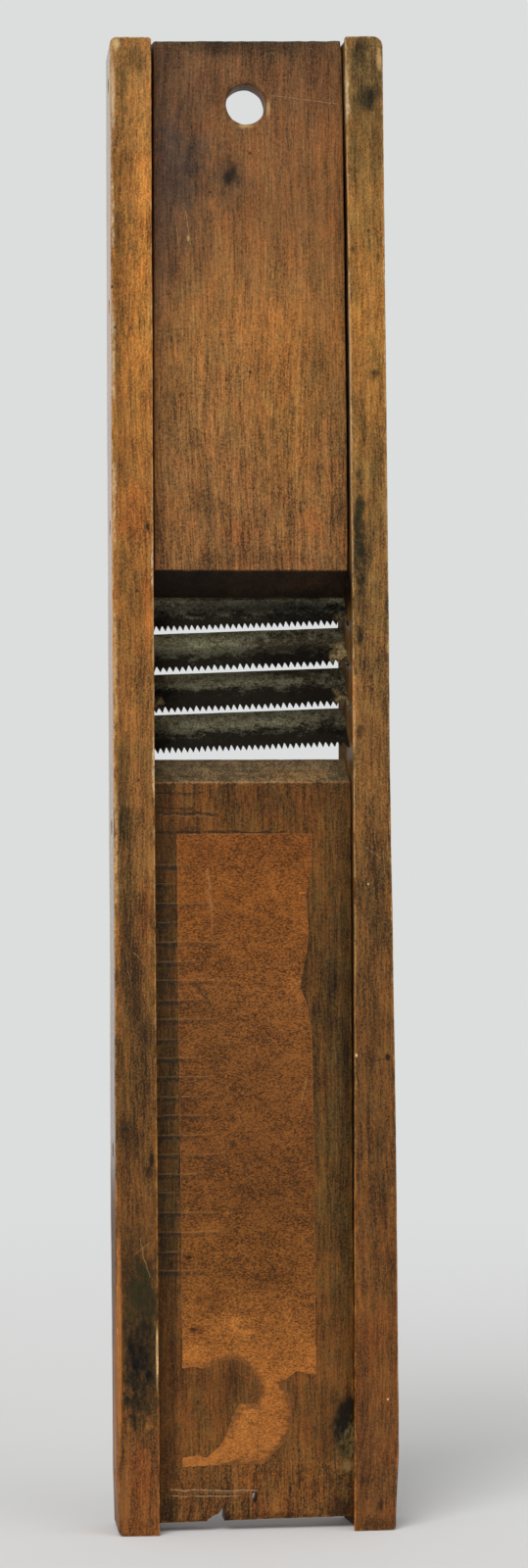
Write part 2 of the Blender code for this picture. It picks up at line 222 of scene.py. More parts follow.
def makeStainAndLightGroup():
    # one blotch with a ragged border; Reach is its half size along x, y and z
    tree, given, out = newGroup(
        "stain", {"Vector": (0, 0, 0), "Middle": (0, 0, 0), "Reach": (0.01, 0.01, 0.01), "Softness": 0.6,
                  "Ragged": 1.6, "Patchy": 0.3}, ["Mask"])
    place = given["Vector"]
    away = vecCalc("DIVIDE", vecCalc("SUBTRACT", place, given["Middle"]), given["Reach"])
    distance = vecCalc("LENGTH", away)
    rough = minus(cloud(place, (2.4, 2.4, 4.0), 5.0, 0.68), 0.5)
    distance = timesPlus(rough, given["Ragged"], distance)
    mask = softStep(distance, 1.0, minus(1.0, given["Softness"]))
    gaps = softStep(cloud(place, (1.1, 1.1, 1.8), 4.0, 0.7, (5, 2, 8)), 0.42, 0.60)
    wire(times(mask, timesPlus(times(gaps, given["Patchy"]), -1.0, 1.0)), out["Mask"])
    return tree


def makeScratchGroup():
    # a thin line from one point to another, broken and a little wavy
    tree, given, out = newGroup(
        "scratch", {"Vector": (0, 0, 0), "From": (0, 0, 0), "To": (0, 0, 0.01), "Width": 0.0003,
                    "Wave": 0.0005}, ["Mask"])
    place = given["Vector"]
    bend = minus(cloud(place, (5, 5, 5), 3.0, 0.6), 0.5)
    offset = vector(**{axis: times(times(bend, given["Wave"]), 2.0) for axis in "XZ"})
    point = vecCalc("ADD", place, offset)
    run = vecCalc("SUBTRACT", given["To"], given["From"])
    reach = vecCalc("SUBTRACT", point, given["From"])
    share = over(vecCalc("DOT_PRODUCT", reach, run), vecCalc("DOT_PRODUCT", run, run), clamp=True)
    distance = vecCalc("LENGTH", vecCalc("SUBTRACT", reach, scaled(run, share)))
    broken = softStep(cloud(place, (1.2, 1.2, 1.2), 3.0, 0.7), 0.30, 0.52)
    wire(times(softStep(over(distance, given["Width"]), 1.0, 0.25), broken), out["Mask"])
    return tree


def makeWearGroup():
    # bare and broken along an arris; Distance is the piece's own measure of how far away the arris is
    tree, given, out = newGroup(
        "worn arris", {"Vector": (0, 0, 0), "Distance": 1.0, "Reach": 0.6, "Broken": 1.0}, ["Mask"])
    patch = minus(cloud(given["Vector"], (2.2, 2.2, 6.0), 5.0, 0.72), 0.5)
    reach = timesPlus(times(patch, given["Broken"]), 6.5, 1.0)
    reach = times(calc("MAXIMUM", reach, 0.02), given["Reach"])
    wire(softStep(over(given["Distance"], reach), 1.3, 0.5), out["Mask"])
    return tree


def makeSpeckGroup():
    # small round specks, thinned out by Share
    tree, given, out = newGroup(
        "specks", {"Vector": (0, 0, 0), "Spacing": 0.006, "Size": 0.08, "Share": 0.3}, ["Mask"])
    finer = scaled(given["Vector"], over(1.0, given["Spacing"]))
    cells = put("ShaderNodeTexVoronoi", {"Vector": finer, "Scale": 1.0}).outputs
    dice = put("ShaderNodeSeparateColor", {0: cells["Color"]}).outputs
    keep = calc("LESS_THAN", dice[0], given["Share"])
    size = times(given["Size"], dice[1])
    wire(times(softStep(minus(cells["Distance"], size), 0.04, 0.0), keep), out["Mask"])
    return tree


def makeMarkGroup():
    # level knife marks in front, one every Pitch from First upwards: a pale lip with a dark cut under it
    tree, given, out = newGroup(
        "knife marks", {"Vector": (0, 0, 0), "First": 0.08, "Pitch": 0.006, "Count": 20.0, "Left": -0.03,
                        "Length": 0.01}, ["Lip", "Cut"])
    place = parts(given["Vector"])
    waver = timesPlus(cloud(given["Vector"], (9, 9, 4), 3.0), 0.0013, place["Z"])
    steps = over(minus(waver, given["First"]), given["Pitch"])
    nearest = calc("ROUND", steps)
    inside = times(calc("GREATER_THAN", nearest, -0.5),
                   calc("LESS_THAN", nearest, minus(given["Count"], 0.5)))
    inside = times(inside, calc("LESS_THAN", place["Y"], (boardFront + 1.0) * mm))
    away = times(minus(steps, nearest), given["Pitch"])
    dice = put("ShaderNodeTexWhiteNoise", {"W": nearest}, noise_dimensions="1D").outputs["Value"]
    end = timesPlus(given["Length"], plus(dice, 0.25), given["Left"])
    along = softStep(minus(place["X"], end), 0.005, -0.003)
    thin = softStep(cloud(given["Vector"], (1.6, 1.6, 1.2), 3.0, 0.7), 0.32, 0.60)
    along = times(times(along, inside), thin)
    lip = softStep(calc("ABSOLUTE", away), 0.00040, 0.00006)
    cut = softStep(calc("ABSOLUTE", plus(away, 0.0010)), 0.0012, 0.0002)
    wire(times(lip, along), out["Lip"])
    wire(times(cut, along), out["Cut"])
    return tree


def makeFaceGroup():
    # picks out the flat face that passes through Point and looks along Normal
    tree, given, out = newGroup(
        "sawn face", {"Vector": (0, 0, 0), "Point": (0, 0, 0), "Normal": (0, 0, 1)}, ["Mask"])
    away = vecCalc("SUBTRACT", given["Vector"], given["Point"])
    wire(softStep(vecCalc("DOT_PRODUCT", away, given["Normal"]), -0.00050, -0.00020), out["Mask"])
    return tree


grainGroup, stainAndLightGroup, scratchGroup = makeGrainGroup(), makeStainAndLightGroup(), makeScratchGroup()
wearGroup, speckGroup = makeWearGroup(), makeSpeckGroup()
markGroup, faceGroup = makeMarkGroup(), makeFaceGroup()


def startMaterial(name):
    material = bpy.data.materials.new(name)
    material.use_nodes = True
    tree = material.node_tree
    place = tree.nodes.new("ShaderNodeTexCoord").outputs["Object"]
    return material, tree, tree.nodes["Principled BSDF"], place


def dress(shader, feeds, height, strength, distance):
    # feeds the shader, and roughens it by a height
    bump = put("ShaderNodeBump", {"Height": height, "Strength": strength, "Distance": distance * mm})
    for name, value in {**feeds, "Normal": bump.outputs[0]}.items():
        wire(value, shader.inputs[name])


def useGroup(group, feeds):
    return put("ShaderNodeGroup", feeds, node_tree=group).outputs


def colourRamp(value, stops):
    made = put("ShaderNodeValToRGB", {"Fac": value})
    ramp = made.color_ramp
    while len(ramp.elements) < len(stops):
        ramp.elements.new(0.5)
    for element, (where, colour) in zip(ramp.elements, stops):
        element.position = where
        element.color = (*colour, 1.0)
    return made.outputs["Color"]


def colourAlong(place, stops):
    # colour by height; the stops are (millimetres, colour) from the foot up
    share = over(parts(place)["Z"], slicer["height"] * mm)
    return colourRamp(share, [(z / slicer["height"], colour) for z, colour in stops])


def amountAlong(place, stops):
    return colourAlong(place, [(z, (value,) * 3) for z, value in stops])


def spot(x, z, wide, high, colour, amount, how="MULTIPLY", y=None, deep=7.0, soft=0.7, ragged=1.5,
         patchy=0.25):
    # a spot's own sizes, for stains and for painted light and shade alike: middle, half width and half
    # height, then its colour and strength
    return {"at": (x, y, z), "reach": (wide, deep, high), "colour": colour, "amount": amount, "how": how,
            "soft": soft, "ragged": ragged, "patchy": patchy}


def addStainsAndPaintedLight(colour, place, stainsAndPaintedLight, front):
    for stain in stainsAndPaintedLight:
        x, y, z = stain["at"]
        middle = Vector((x, front if y is None else y, z)) * mm
        mask = useGroup(stainAndLightGroup, {
            "Vector": place, "Middle": middle, "Reach": Vector(stain["reach"]) * mm,
            "Softness": stain["soft"], "Ragged": stain["ragged"], "Patchy": stain["patchy"]})["Mask"]
        colour = tint(colour, stain["colour"], times(mask, stain["amount"]), stain["how"])
    return colour


def line(x1, z1, x2, z2, width, colour, amount, wave=0.5):
    return {"ends": ((x1, z1), (x2, z2)), "width": width, "colour": colour, "amount": amount, "wave": wave}


def addScratches(colour, place, scratches, front):
    for scratch in scratches:
        first, last = (Vector((x, front, z)) * mm for x, z in scratch["ends"])
        mask = useGroup(scratchGroup, {
            "Vector": place, "From": first, "To": last, "Width": scratch["width"] * mm,
            "Wave": scratch["wave"] * mm})["Mask"]
        colour = tint(colour, scratch["colour"], times(mask, scratch["amount"]))
    return colour


def addMarks(colour, height, place, marks):
    made = useGroup(markGroup, {"Vector": place, **marks["sizes"]})
    colour = tint(colour, marks["lip"], times(made["Lip"], marks["amount"]))
    colour = tint(colour, marks["cut"], times(made["Cut"], marks["dark"]))
    return colour, timesPlus(made["Cut"], -1.0, timesPlus(made["Lip"], 0.8, height))


def faceMask(place, face):
    # where the flat face through a point lies; its normal needn't be of length one
    return useGroup(faceGroup, {"Vector": place, "Point": Vector(face["point"]) * mm,
                                "Normal": Vector(face["normal"]).normalized()})["Mask"]


def woodMaterial(name, look):
    material, tree, shader, place = startMaterial(name)
    grain = useGroup(grainGroup, {"Vector": place, "Shift": look["shift"], "Rings": look["rings"],
                                  "Ring Gap": look["ringGap"] * mm, "Mottle": look["mottle"]})
    colour = colourAlong(place, look["along"])
    hue = tint((1.10, 0.93, 0.78, 1.0), (0.86, 1.0, 1.04), grain["Hue"])
    colour = tint(colour, hue, look["hues"], "MULTIPLY")
    tall = parts(place)["Z"]
    strength = amountAlong(place, look["contrast"])
    tone = times(minus(grain["Tone"], 0.5), strength)
    colour = scaled(colour, calc("MAXIMUM", timesPlus(tone, 2.5, 1.0), 0.25))
    shown = look["wearAmount"]
    for face in look.get("faces", ()):
        mask = faceMask(place, face)
        faceColour = colourRamp(grain["Tone"], [(0.2, face["dark"]), (0.8, face["light"])])
        colour = tint(colour, faceColour, times(mask, face["amount"]))
        shown = times(minus(1.0, times(mask, face["noWear"])), shown)
    colour = addStainsAndPaintedLight(colour, place, look["stainsAndPaintedLight"], look["front"])
    colour = tint(colour, look["pore"], times(grain["Pore"], look["pores"]))
    # bare wood along the arrises, no paler than the wood beside it near the foot
    worn = useGroup(wearGroup, {"Vector": place, "Distance": stored(tree, "arris"),
                                "Reach": look["wearReach"], "Broken": look["wearBroken"]})["Mask"]
    bare = colourRamp(grain["Fleck"], [(0.36, look["bareDark"]), (0.62, look["bare"])])
    bare = tint(bare, scaled(colour, 2.3), softStep(tall, 0.30, 0.10, 0.15, 0.9))
    colour = tint(colour, bare, times(worn, shown))
    specks = useGroup(speckGroup, {"Vector": place, **look["specks"]})["Mask"]
    colour = tint(colour, look["pore"], times(specks, 0.75))
    height = grain["Height"]
    rough = softStep(grain["Fleck"], 0.35, 0.65, look["rough"] - 0.08, look["rough"] + 0.08)
    for side in look.get("handled", ()):
        held = faceMask(place, side)
        held = times(held, softStep(tall, side["above"] * mm, side["above"] * mm + 0.03))
        rough = timesPlus(held, side["rougher"], rough)
        height = times(height, timesPlus(held, -0.8, 1.0))
    for marks in look.get("marks", ()):
        colour, height = addMarks(colour, height, place, marks)
    colour = addScratches(colour, place, look["scratches"], look["front"])
    dress(shader, {"Base Color": colour, "Roughness": timesPlus(worn, 0.12, rough),
                   "Specular IOR Level": look["gloss"]}, height, look["relief"], 0.35)
    return material


# colours that stains and painted light share: those above 1 lighten, the others darken
olive, brown, smoke, soot = (0.40, 0.46, 0.42), (0.60, 0.55, 0.50), (0.56, 0.57, 0.57), (0.10, 0.105, 0.09)
blue, gold, red, orange = (0.15, 0.20, 0.24), (1.45, 1.36, 1.20), (1.22, 0.88, 0.72), (2.0, 1.6, 1.3)
cream, straw, night, plum = (0.66, 0.50, 0.30), (0.55, 0.34, 0.14), (0.021, 0.018, 0.003), (0.58, 0.70, 1.02)
crust = (0.34, 0.24, 0.105)
# borders that stains share
hazy, clouded = {"soft": 0.95, "ragged": 0.8, "patchy": 0}, {"soft": 0.95, "ragged": 0.9, "patchy": 0.1}
flaked = {"ragged": 2.6, "patchy": 0.8}

# rails: oiled hardwood, dark where hands and food have stained it, bare along the arrises
railLook = {
    "specks": {"Spacing": 0.0062, "Size": 0.07, "Share": 0.22}, "rings": 0.35, "ringGap": 1.6,
    "mottle": 1.0, "hues": 0.5, "pore": (0.030, 0.016, 0.008), "pores": 0.28, "bare": (0.60, 0.40, 0.19),
    "bareDark": (0.30, 0.15, 0.05), "wearReach": 0.42, "wearBroken": 1.0, "wearAmount": 0.9, "rough": 0.5,
    "relief": 0.5, "gloss": 0.18, "front": railFront,
}
leftRailLook = {
    **railLook, "shift": 0.0,
    "contrast": [(0, 0.60), (60, 0.55), (140, 0.62), (235, 0.52), (300, 0.46), (470, 0.40)],
    "handled": [{"point": (-43.65, 0, 0), "normal": (-1, 0, 0), "rougher": -0.34, "above": 95}],
    "along": [
        (0, (0.160, 0.056, 0.0105)), (40, (0.150, 0.054, 0.0105)), (85, (0.116, 0.044, 0.008)),
        (140, (0.118, 0.049, 0.009)), (235, (0.200, 0.087, 0.020)), (300, (0.292, 0.116, 0.022)),
        (400, (0.350, 0.142, 0.026)), (470, (0.310, 0.138, 0.034)),
    ],
    "stainsAndPaintedLight": [
        spot(-36.3, 462, 4.0, 7, olive, 0.7), spot(-39.6, 452, 3.0, 15, olive, 0.85),
        spot(-42.2, 405, 2.6, 70, (0.50, 0.52, 0.48), 0.6, soft=0.8, ragged=1.6, patchy=0.2),
        spot(-41.0, 410, 2.4, 15, olive, 0.4), spot(-43.1, 414, 0.7, 13, cream, 0.7, "MIX", **flaked),
        spot(-43.1, 370, 0.7, 22, cream, 0.7, "MIX", **flaked),
        spot(-43.1, 322, 0.8, 18, cream, 0.7, "MIX", **flaked),
        spot(-43.1, 272, 0.8, 26, straw, 0.8, "MIX", **flaked),
        spot(-43.1, 214, 0.8, 24, straw, 0.8, "MIX", **flaked),
        spot(-31.3, 303, 0.5, 9, cream, 0.9, "MIX", ragged=3.0, patchy=0.9),
        spot(-31.3, 238, 0.5, 12, cream, 0.9, "MIX", ragged=3.0, patchy=0.9),
        spot(-42.0, 467, 1.7, 3.0, (0.62, 0.42, 0.18), 0.85, "MIX"),
        spot(-42.9, 450, 0.9, 16, cream, 0.7, "MIX", patchy=0.6),
        spot(-39.2, 429, 4.2, 13, brown, 0.7, patchy=0.2),
        spot(-40.4, 395, 2.8, 22, brown, 0.3, patchy=0.1), spot(-33.4, 412, 3.8, 56, gold, 0.75, soft=0.9),
        spot(-32.8, 400, 2.6, 26, (1.32, 1.25, 1.15), 0.8, soft=0.9),
        spot(-37.5, 382, 4.0, 30, (1.15, 1.12, 1.05), 0.7), spot(-41.5, 380, 2.2, 22, olive, 0.45),
        spot(-40.6, 345, 2.6, 26, brown, 0.6), spot(-35.0, 357, 4.0, 42, gold, 0.35, soft=0.9),
        spot(-37.5, 318, 6.0, 12, red, 0.5), spot(-32.7, 314.6, 0.9, 2.4, soot, 0.9, patchy=0),
        spot(-40.7, 299, 2.2, 10, olive, 0.7), spot(-36.8, 290, 4.2, 9, smoke, 0.6),
        spot(-33.0, 290, 2.4, 14, red, 0.6), spot(-41.0, 236, 2.8, 20, olive, 0.85),
        spot(-40.2, 200, 3.4, 42, olive, 0.75, patchy=0.5), spot(-38.0, 168, 4.0, 22, smoke, 0.6),
        spot(-34.3, 192, 3.0, 15, red, 0.5), spot(-42.6, 172, 1.2, 30, orange, 0.6, patchy=0.7),
        spot(-32.7, 116.5, 1.0, 3.4, soot, 0.95, patchy=0), spot(-33.6, 112.5, 1.4, 3.0, soot, 0.8),
        spot(-38.7, 123, 4.4, 11, smoke, 0.7), spot(-36.8, 88, 6.5, 18, smoke, 0.7, patchy=0.6),
        spot(-36.2, 60, 8.2, 37, night, 0.88, "MIX", soft=0.5, patchy=0.3, ragged=1.3),
        spot(-36.8, 55, 6.4, 22, soot, 0.7, patchy=0.55, ragged=2.4),
        spot(-37.0, 76, 4.8, 9, night, 0.85, "MIX", ragged=2.0),
        spot(-37.6, 56, 3.6, 8, soot, 0.9, ragged=2.2),
        # painted reflection: the outer side face is lightened as the pale surroundings glint in it, whitish
        # near the foot and warm above
        spot(-43.7, 40, 0.8, 66, (2.5, 2.5, 2.8), 0.9, y=-2, deep=17, soft=0.8, ragged=1.4, patchy=0.35),
        spot(-43.7, 270, 0.8, 200, (1.3, 1.02, 0.46), 0.85, y=0, deep=16, soft=0.3, ragged=0.4, patchy=0),
        spot(-38.1, 53.5, 1.7, 2.6, soot, 0.95), spot(-34.0, 50.0, 1.8, 1.8, soot, 0.95),
        spot(-38.5, 41, 3.0, 7, olive, 0.85, ragged=2.2),
        # painted reflection: the outer arris near the foot is made orange red by the floor's warm light
        # reflected in it
        spot(-43.2, 60, 1.1, 44, (0.42, 0.15, 0.03), 0.9, "MIX", soft=0.5, ragged=0.7, patchy=0.3),
        spot(-42.0, 12, 2.0, 16, (0.26, 0.10, 0.022), 0.6, "MIX"),
        # painted highlight: the first spot on the next line lightens the inner arris near the foot
        spot(-31.3, 55, 0.55, 13, straw, 0.9, "MIX", ragged=0.8), spot(-37.0, 18, 6.0, 14, red, 0.5),
    ],
    "scratches": [
        line(-38.0, 181, -34.5, 177, 0.16, straw, 0.35, 0.8),
        line(-40.5, 182, -38.6, 170, 0.16, straw, 0.35, 0.8),
        line(-36.5, 92, -33.4, 80, 0.18, straw, 0.28, 0.9),
        line(-38.5, 87, -33.0, 91, 0.15, straw, 0.28, 0.9),
        line(-36.0, 160, -34.5, 149, 0.25, (0.05, 0.03, 0.015), 0.5),
    ],
}
rightRailLook = {
    **railLook, "shift": 0.37,
    "contrast": [(0, 0.50), (60, 0.48), (140, 0.56), (255, 0.64), (320, 0.54), (470, 0.42)],
    "handled": [{"point": (channelRight, 0, 0), "normal": (-1, 0, 0), "rougher": 0.4, "above": -100}],
    "along": [
        (0, (0.125, 0.044, 0.009)), (60, (0.140, 0.050, 0.009)), (120, (0.120, 0.047, 0.009)),
        (200, (0.137, 0.060, 0.013)), (255, (0.156, 0.072, 0.018)), (320, (0.185, 0.092, 0.022)),
        (385, (0.300, 0.130, 0.024)), (470, (0.200, 0.108, 0.030)),
    ],
    "stainsAndPaintedLight": [
        spot(36.8, 450, 7.5, 30, (0.62, 0.68, 0.62), 0.8, soft=0.9), spot(36.5, 468.3, 3.2, 3, soot, 0.6),
        spot(41.0, 444, 3.2, 22, olive, 0.75, soft=0.9), spot(34.0, 432, 3.0, 12, (0.62, 0.74, 0.78), 0.7),
        spot(30.9, 268, 1.4, 36, soot, 0.35, y=5, deep=11, soft=0.5, ragged=0.5, patchy=0),
        # painted shade: the inner face in front of the boards is darkened like a shaded open gap, near black
        # beside the upper board and dim beside the lower
        spot(
            31.9, 385, 1.1, 95, (0.05, 0.04, 0.03), 0.97, y=-5.5, deep=5.8, soft=0.4, ragged=0.3, patchy=0,
        ),
        spot(
            31.8, 150, 0.9, 100, (0.25, 0.22, 0.18), 0.9, y=-5.5, deep=5.0, soft=0.5, ragged=0.3, patchy=0,
        ),
        spot(31.2, 296, 2.4, 10, (0.06, 0.05, 0.04), 0.95, y=0, deep=14, soft=0.5, ragged=0.5, patchy=0),
        spot(31.6, 350, 0.6, 62, cream, 0.6, "MIX", ragged=1.4, patchy=0.5),
        spot(31.3, 452, 1.1, 14, cream, 0.85, "MIX", patchy=0.7, ragged=2.6),
        spot(41.8, 464, 1.2, 4.6, straw, 0.8, "MIX"),
        spot(35.2, 465, 3.4, 4.4, (0.30, 0.33, 0.30), 0.85, ragged=1.8),
        spot(35.0, 448, 2.2, 8, (0.5, 0.54, 0.5), 0.6),
        spot(38.2, 451.0, 3.4, 6.0, (0.20, 0.24, 0.22), 0.92, ragged=1.2, patchy=0.1),
        spot(38.7, 450.8, 1.9, 3.6, soot, 0.8), spot(32.7, 403, 0.8, 1.5, soot, 0.85),
        spot(40.8, 400, 0.9, 3, soot, 0.7), spot(39.7, 363.7, 1.9, 1.6, soot, 0.8),
        spot(38.6, 362.8, 2.6, 3.0, olive, 0.7), spot(35.8, 346, 1.5, 9, olive, 0.7),
        spot(39.1, 334, 2.2, 15, olive, 0.75, patchy=0.5), spot(34.0, 321, 2.2, 17, blue, 0.85, ragged=2.2),
        spot(34.2, 307, 3.2, 10, blue, 0.92, ragged=2.2), spot(34.4, 297.8, 2.2, 3.8, soot, 0.95),
        spot(33.8, 280.5, 1.6, 4.4, soot, 0.9),
        spot(34.3, 311, 2.2, 20, night, 0.85, "MIX", patchy=0.4, ragged=1.8),
        spot(34.6, 291, 2.2, 7, night, 0.6, "MIX", patchy=0.5),
        # the orange spot on the next line is a painted highlight on the inner arris beside the blades
        spot(36.0, 300, 5.5, 36, smoke, 0.6, patchy=0.5), spot(31.6, 262, 1.4, 22, orange, 0.8, soft=0.8),
        spot(32.7, 269, 0.9, 2.2, soot, 0.8), spot(33.8, 250, 1.5, 2.8, soot, 0.75),
        spot(39.9, 206, 2.4, 36, smoke, 0.75, patchy=0.5), spot(38.5, 160, 4.0, 14, smoke, 0.6, patchy=0.5),
        spot(39.2, 122.7, 2.6, 11, olive, 0.6, patchy=0.5), spot(40.6, 102, 1.6, 10, olive, 0.6),
        spot(41.9, 147.6, 1.2, 1.5, soot, 0.95, patchy=0), spot(37.0, 60, 5.0, 18, red, 0.3),
        spot(38.5, 7.9, 1.0, 3.0, soot, 0.8), spot(37.0, 2.0, 7.0, 3.0, smoke, 0.8),
        spot(36.1, 202.0, 0.4, 0.45, cream, 0.95, "MIX", ragged=0.3, patchy=0),
        spot(41.0, 40.8, 0.45, 0.55, cream, 0.95, "MIX", ragged=0.3, patchy=0),
        spot(32.0, 148.3, 0.5, 0.8, cream, 0.95, "MIX", ragged=0.5, patchy=0),
    ],
    "scratches": [
        line(37.5, 146.4, 41.8, 147.4, 0.28, (0.03, 0.015, 0.01), 0.8),
        line(37.2, 150.5, 37.8, 146.4, 0.25, (0.03, 0.015, 0.01), 0.6),
        line(40.8, 214, 41.3, 205, 0.15, straw, 0.35), line(36.0, 214, 40.0, 210, 0.16, straw, 0.4, 1.5),
        line(38.2, 392, 38.2, 378, 0.2, straw, 0.4),
    ],
}
upperLook = {
    **railLook, "shift": 0.81, "front": boardFront, "rings": 0.7, "ringGap": 1.17, "hues": 0.5,
    "gloss": 0.17,
    "contrast": [(293, 0.60), (345, 0.52), (380, 0.42), (420, 0.36), (450, 0.40), (471, 0.48)],
    "mottle": 0.6, "pores": 0.3, "wearReach": 0.28, "wearAmount": 0.3, "bare": (0.42, 0.22, 0.09),
    "bareDark": (0.20, 0.09, 0.03),
    "along": [
        (293, (0.185, 0.080, 0.026)), (308, (0.215, 0.092, 0.026)), (345, (0.254, 0.113, 0.031)),
        (380, (0.302, 0.130, 0.032)), (410, (0.238, 0.098, 0.027)), (445, (0.203, 0.085, 0.027)),
        (462, (0.164, 0.070, 0.024)), (471, (0.115, 0.054, 0.021)),
    ],
    "stainsAndPaintedLight": [
        spot(-24, 424, 18, 54, (0.39, 0.50, 0.92), 0.95, soft=0.95, ragged=0.9, patchy=0.15),
        spot(-29, 450, 5, 24, (0.66, 0.70, 0.84), 0.8, soft=0.9, ragged=0.9, patchy=0.1),
        spot(-25, 456, 8, 15, (0.72, 0.80, 0.84), 0.8, **hazy),
        # painted light: a strip along the left edge by the rail is lightened against the shade of the joint
        spot(-30.6, 340, 1.0, 50, (1.7, 1.65, 1.6), 0.85, soft=0.6, ragged=0.3, patchy=0),
        spot(-18, 431, 13, 17, plum, 0.8, **clouded),
        spot(-6, 426, 9, 15, (0.50, 0.60, 0.88), 0.85, **clouded),
        spot(-29, 400, 6, 60, (0.62, 0.68, 0.98), 0.8, soft=0.9, ragged=0.9, patchy=0.1),
        spot(-12, 455, 14, 14, (0.70, 0.74, 0.84), 0.7, **clouded),
        spot(8, 412, 24, 14, (0.84, 0.86, 0.90), 0.8, soft=0.9, ragged=0.9),
        spot(0, 470, 36, 6, (0.50, 0.55, 0.52), 0.85), spot(-8, 468, 8, 4, olive, 0.6),
        spot(-29, 463, 6, 9, (0.70, 0.70, 0.72), 0.8, soft=0.9, ragged=0.8, patchy=0),
        spot(2, 424, 7, 9, (0.80, 0.82, 0.88), 0.8, **hazy),
        spot(-13, 399, 5, 13, (0.84, 0.86, 0.92), 0.8, **hazy),
        spot(26, 427, 6, 9, (1.16, 1.12, 1.02), 0.8, **hazy),
        spot(-23, 353, 4, 8, (1.20, 1.15, 1.06), 0.7, **hazy),
        spot(-25, 441, 6, 9, (0.76, 0.88, 1.22), 0.8, **hazy),
        spot(27, 436, 6, 24, (1.16, 1.10, 1.04), 0.7, soft=0.9, ragged=0.8, patchy=0),
        spot(0, 398, 6, 13, (0.76, 0.79, 0.88), 0.85, soft=0.9, ragged=0.9, patchy=0.1),
        spot(22, 452, 9, 16, (0.74, 0.74, 0.74), 0.6, soft=0.95),
        spot(-4.3, 428.6, 2.2, 4.6, blue, 0.92, patchy=0.1, soft=0.9, ragged=0.9),
        spot(-6.4, 426.2, 2.4, 4.2, blue, 0.97, patchy=0.1, soft=0.9, ragged=0.9),
        spot(-5.4, 428.4, 5.4, 8.6, smoke, 0.9, soft=0.95, ragged=1.0),
        # painted shade: the hole's top inner wall is darkened; beside it the top left rim is made darker too
        spot(-0.6, 456.6, 7.2, 2.2, (0.22, 0.23, 0.32), 0.9, y=0, deep=9, ragged=0.6, patchy=0),
        spot(-5.2, 453.6, 2.2, 3.4, (0.36, 0.38, 0.50), 0.8, ragged=0.8),
        spot(-0.5, 443.0, 3.8, 1.2, straw, 0.7, "MIX", soft=0.9),
        spot(6.9, 449, 1.0, 3.8, straw, 0.55, "MIX"),
        spot(13, 352, 19, 48, (1.06, 1.0, 0.76), 0.8, soft=0.9, ragged=0.8, patchy=0.1),
        spot(2, 398, 7, 45, (1.25, 1.12, 1.0), 0.5, soft=0.95),
        spot(8, 372, 10, 16, (1.12, 1.0, 0.9), 0.5, soft=0.95),
        spot(24, 360, 7, 50, (0.82, 0.84, 0.86), 0.7),
        spot(-25, 360, 7, 40, (0.74, 0.76, 0.80), 0.7, soft=0.95),
        spot(7.5, 348.4, 1.6, 2.6, smoke, 0.9, patchy=0.1), spot(15, 352, 5.0, 2.0, smoke, 0.45),
        spot(-14.5, 322, 6.5, 7, smoke, 0.7, patchy=0.5), spot(-3.0, 313, 9, 6, red, 0.6),
        spot(20, 318, 7, 7, red, 0.4), spot(2, 305, 27, 3.4, brown, 0.7, patchy=0.5),
        spot(-18.9, 406.9, 0.6, 1.3, straw, 0.7, "MIX"),
    ],
    "faces": [
        # the bevel at the board's foot faces down: painted deep shade with dirt makes it almost black
        {
            "point": (0, boardFront, 301.23), "normal": (0, -8.0, -9.5), "dark": (0.005, 0.004, 0.003),
            "light": (0.013, 0.009, 0.005), "amount": 0.97, "noWear": 1.0,
        },
        {
            "point": (0, boardFront, topAt(0) - 0.1), "normal": (-0.02, 0, 1),
            "dark": (0.036, 0.026, 0.014), "light": (0.110, 0.076, 0.040), "amount": 0.9, "noWear": 1.0,
        },
    ],
    "scratches": [
        line(8.3, 453.0, 29.3, 450.4, 0.16, straw, 0.5, 0.6),
        line(-19.5, 415.7, -18.3, 405.0, 0.22, straw, 0.4), line(-23.5, 417, -21.5, 402, 0.16, straw, 0.35),
        line(-0.6, 402, -0.4, 386, 0.3, (0.45, 0.2, 0.06), 0.4),
        line(9.0, 345.6, 16.0, 345.2, 0.2, (0.06, 0.03, 0.015), 0.5),
    ],
}
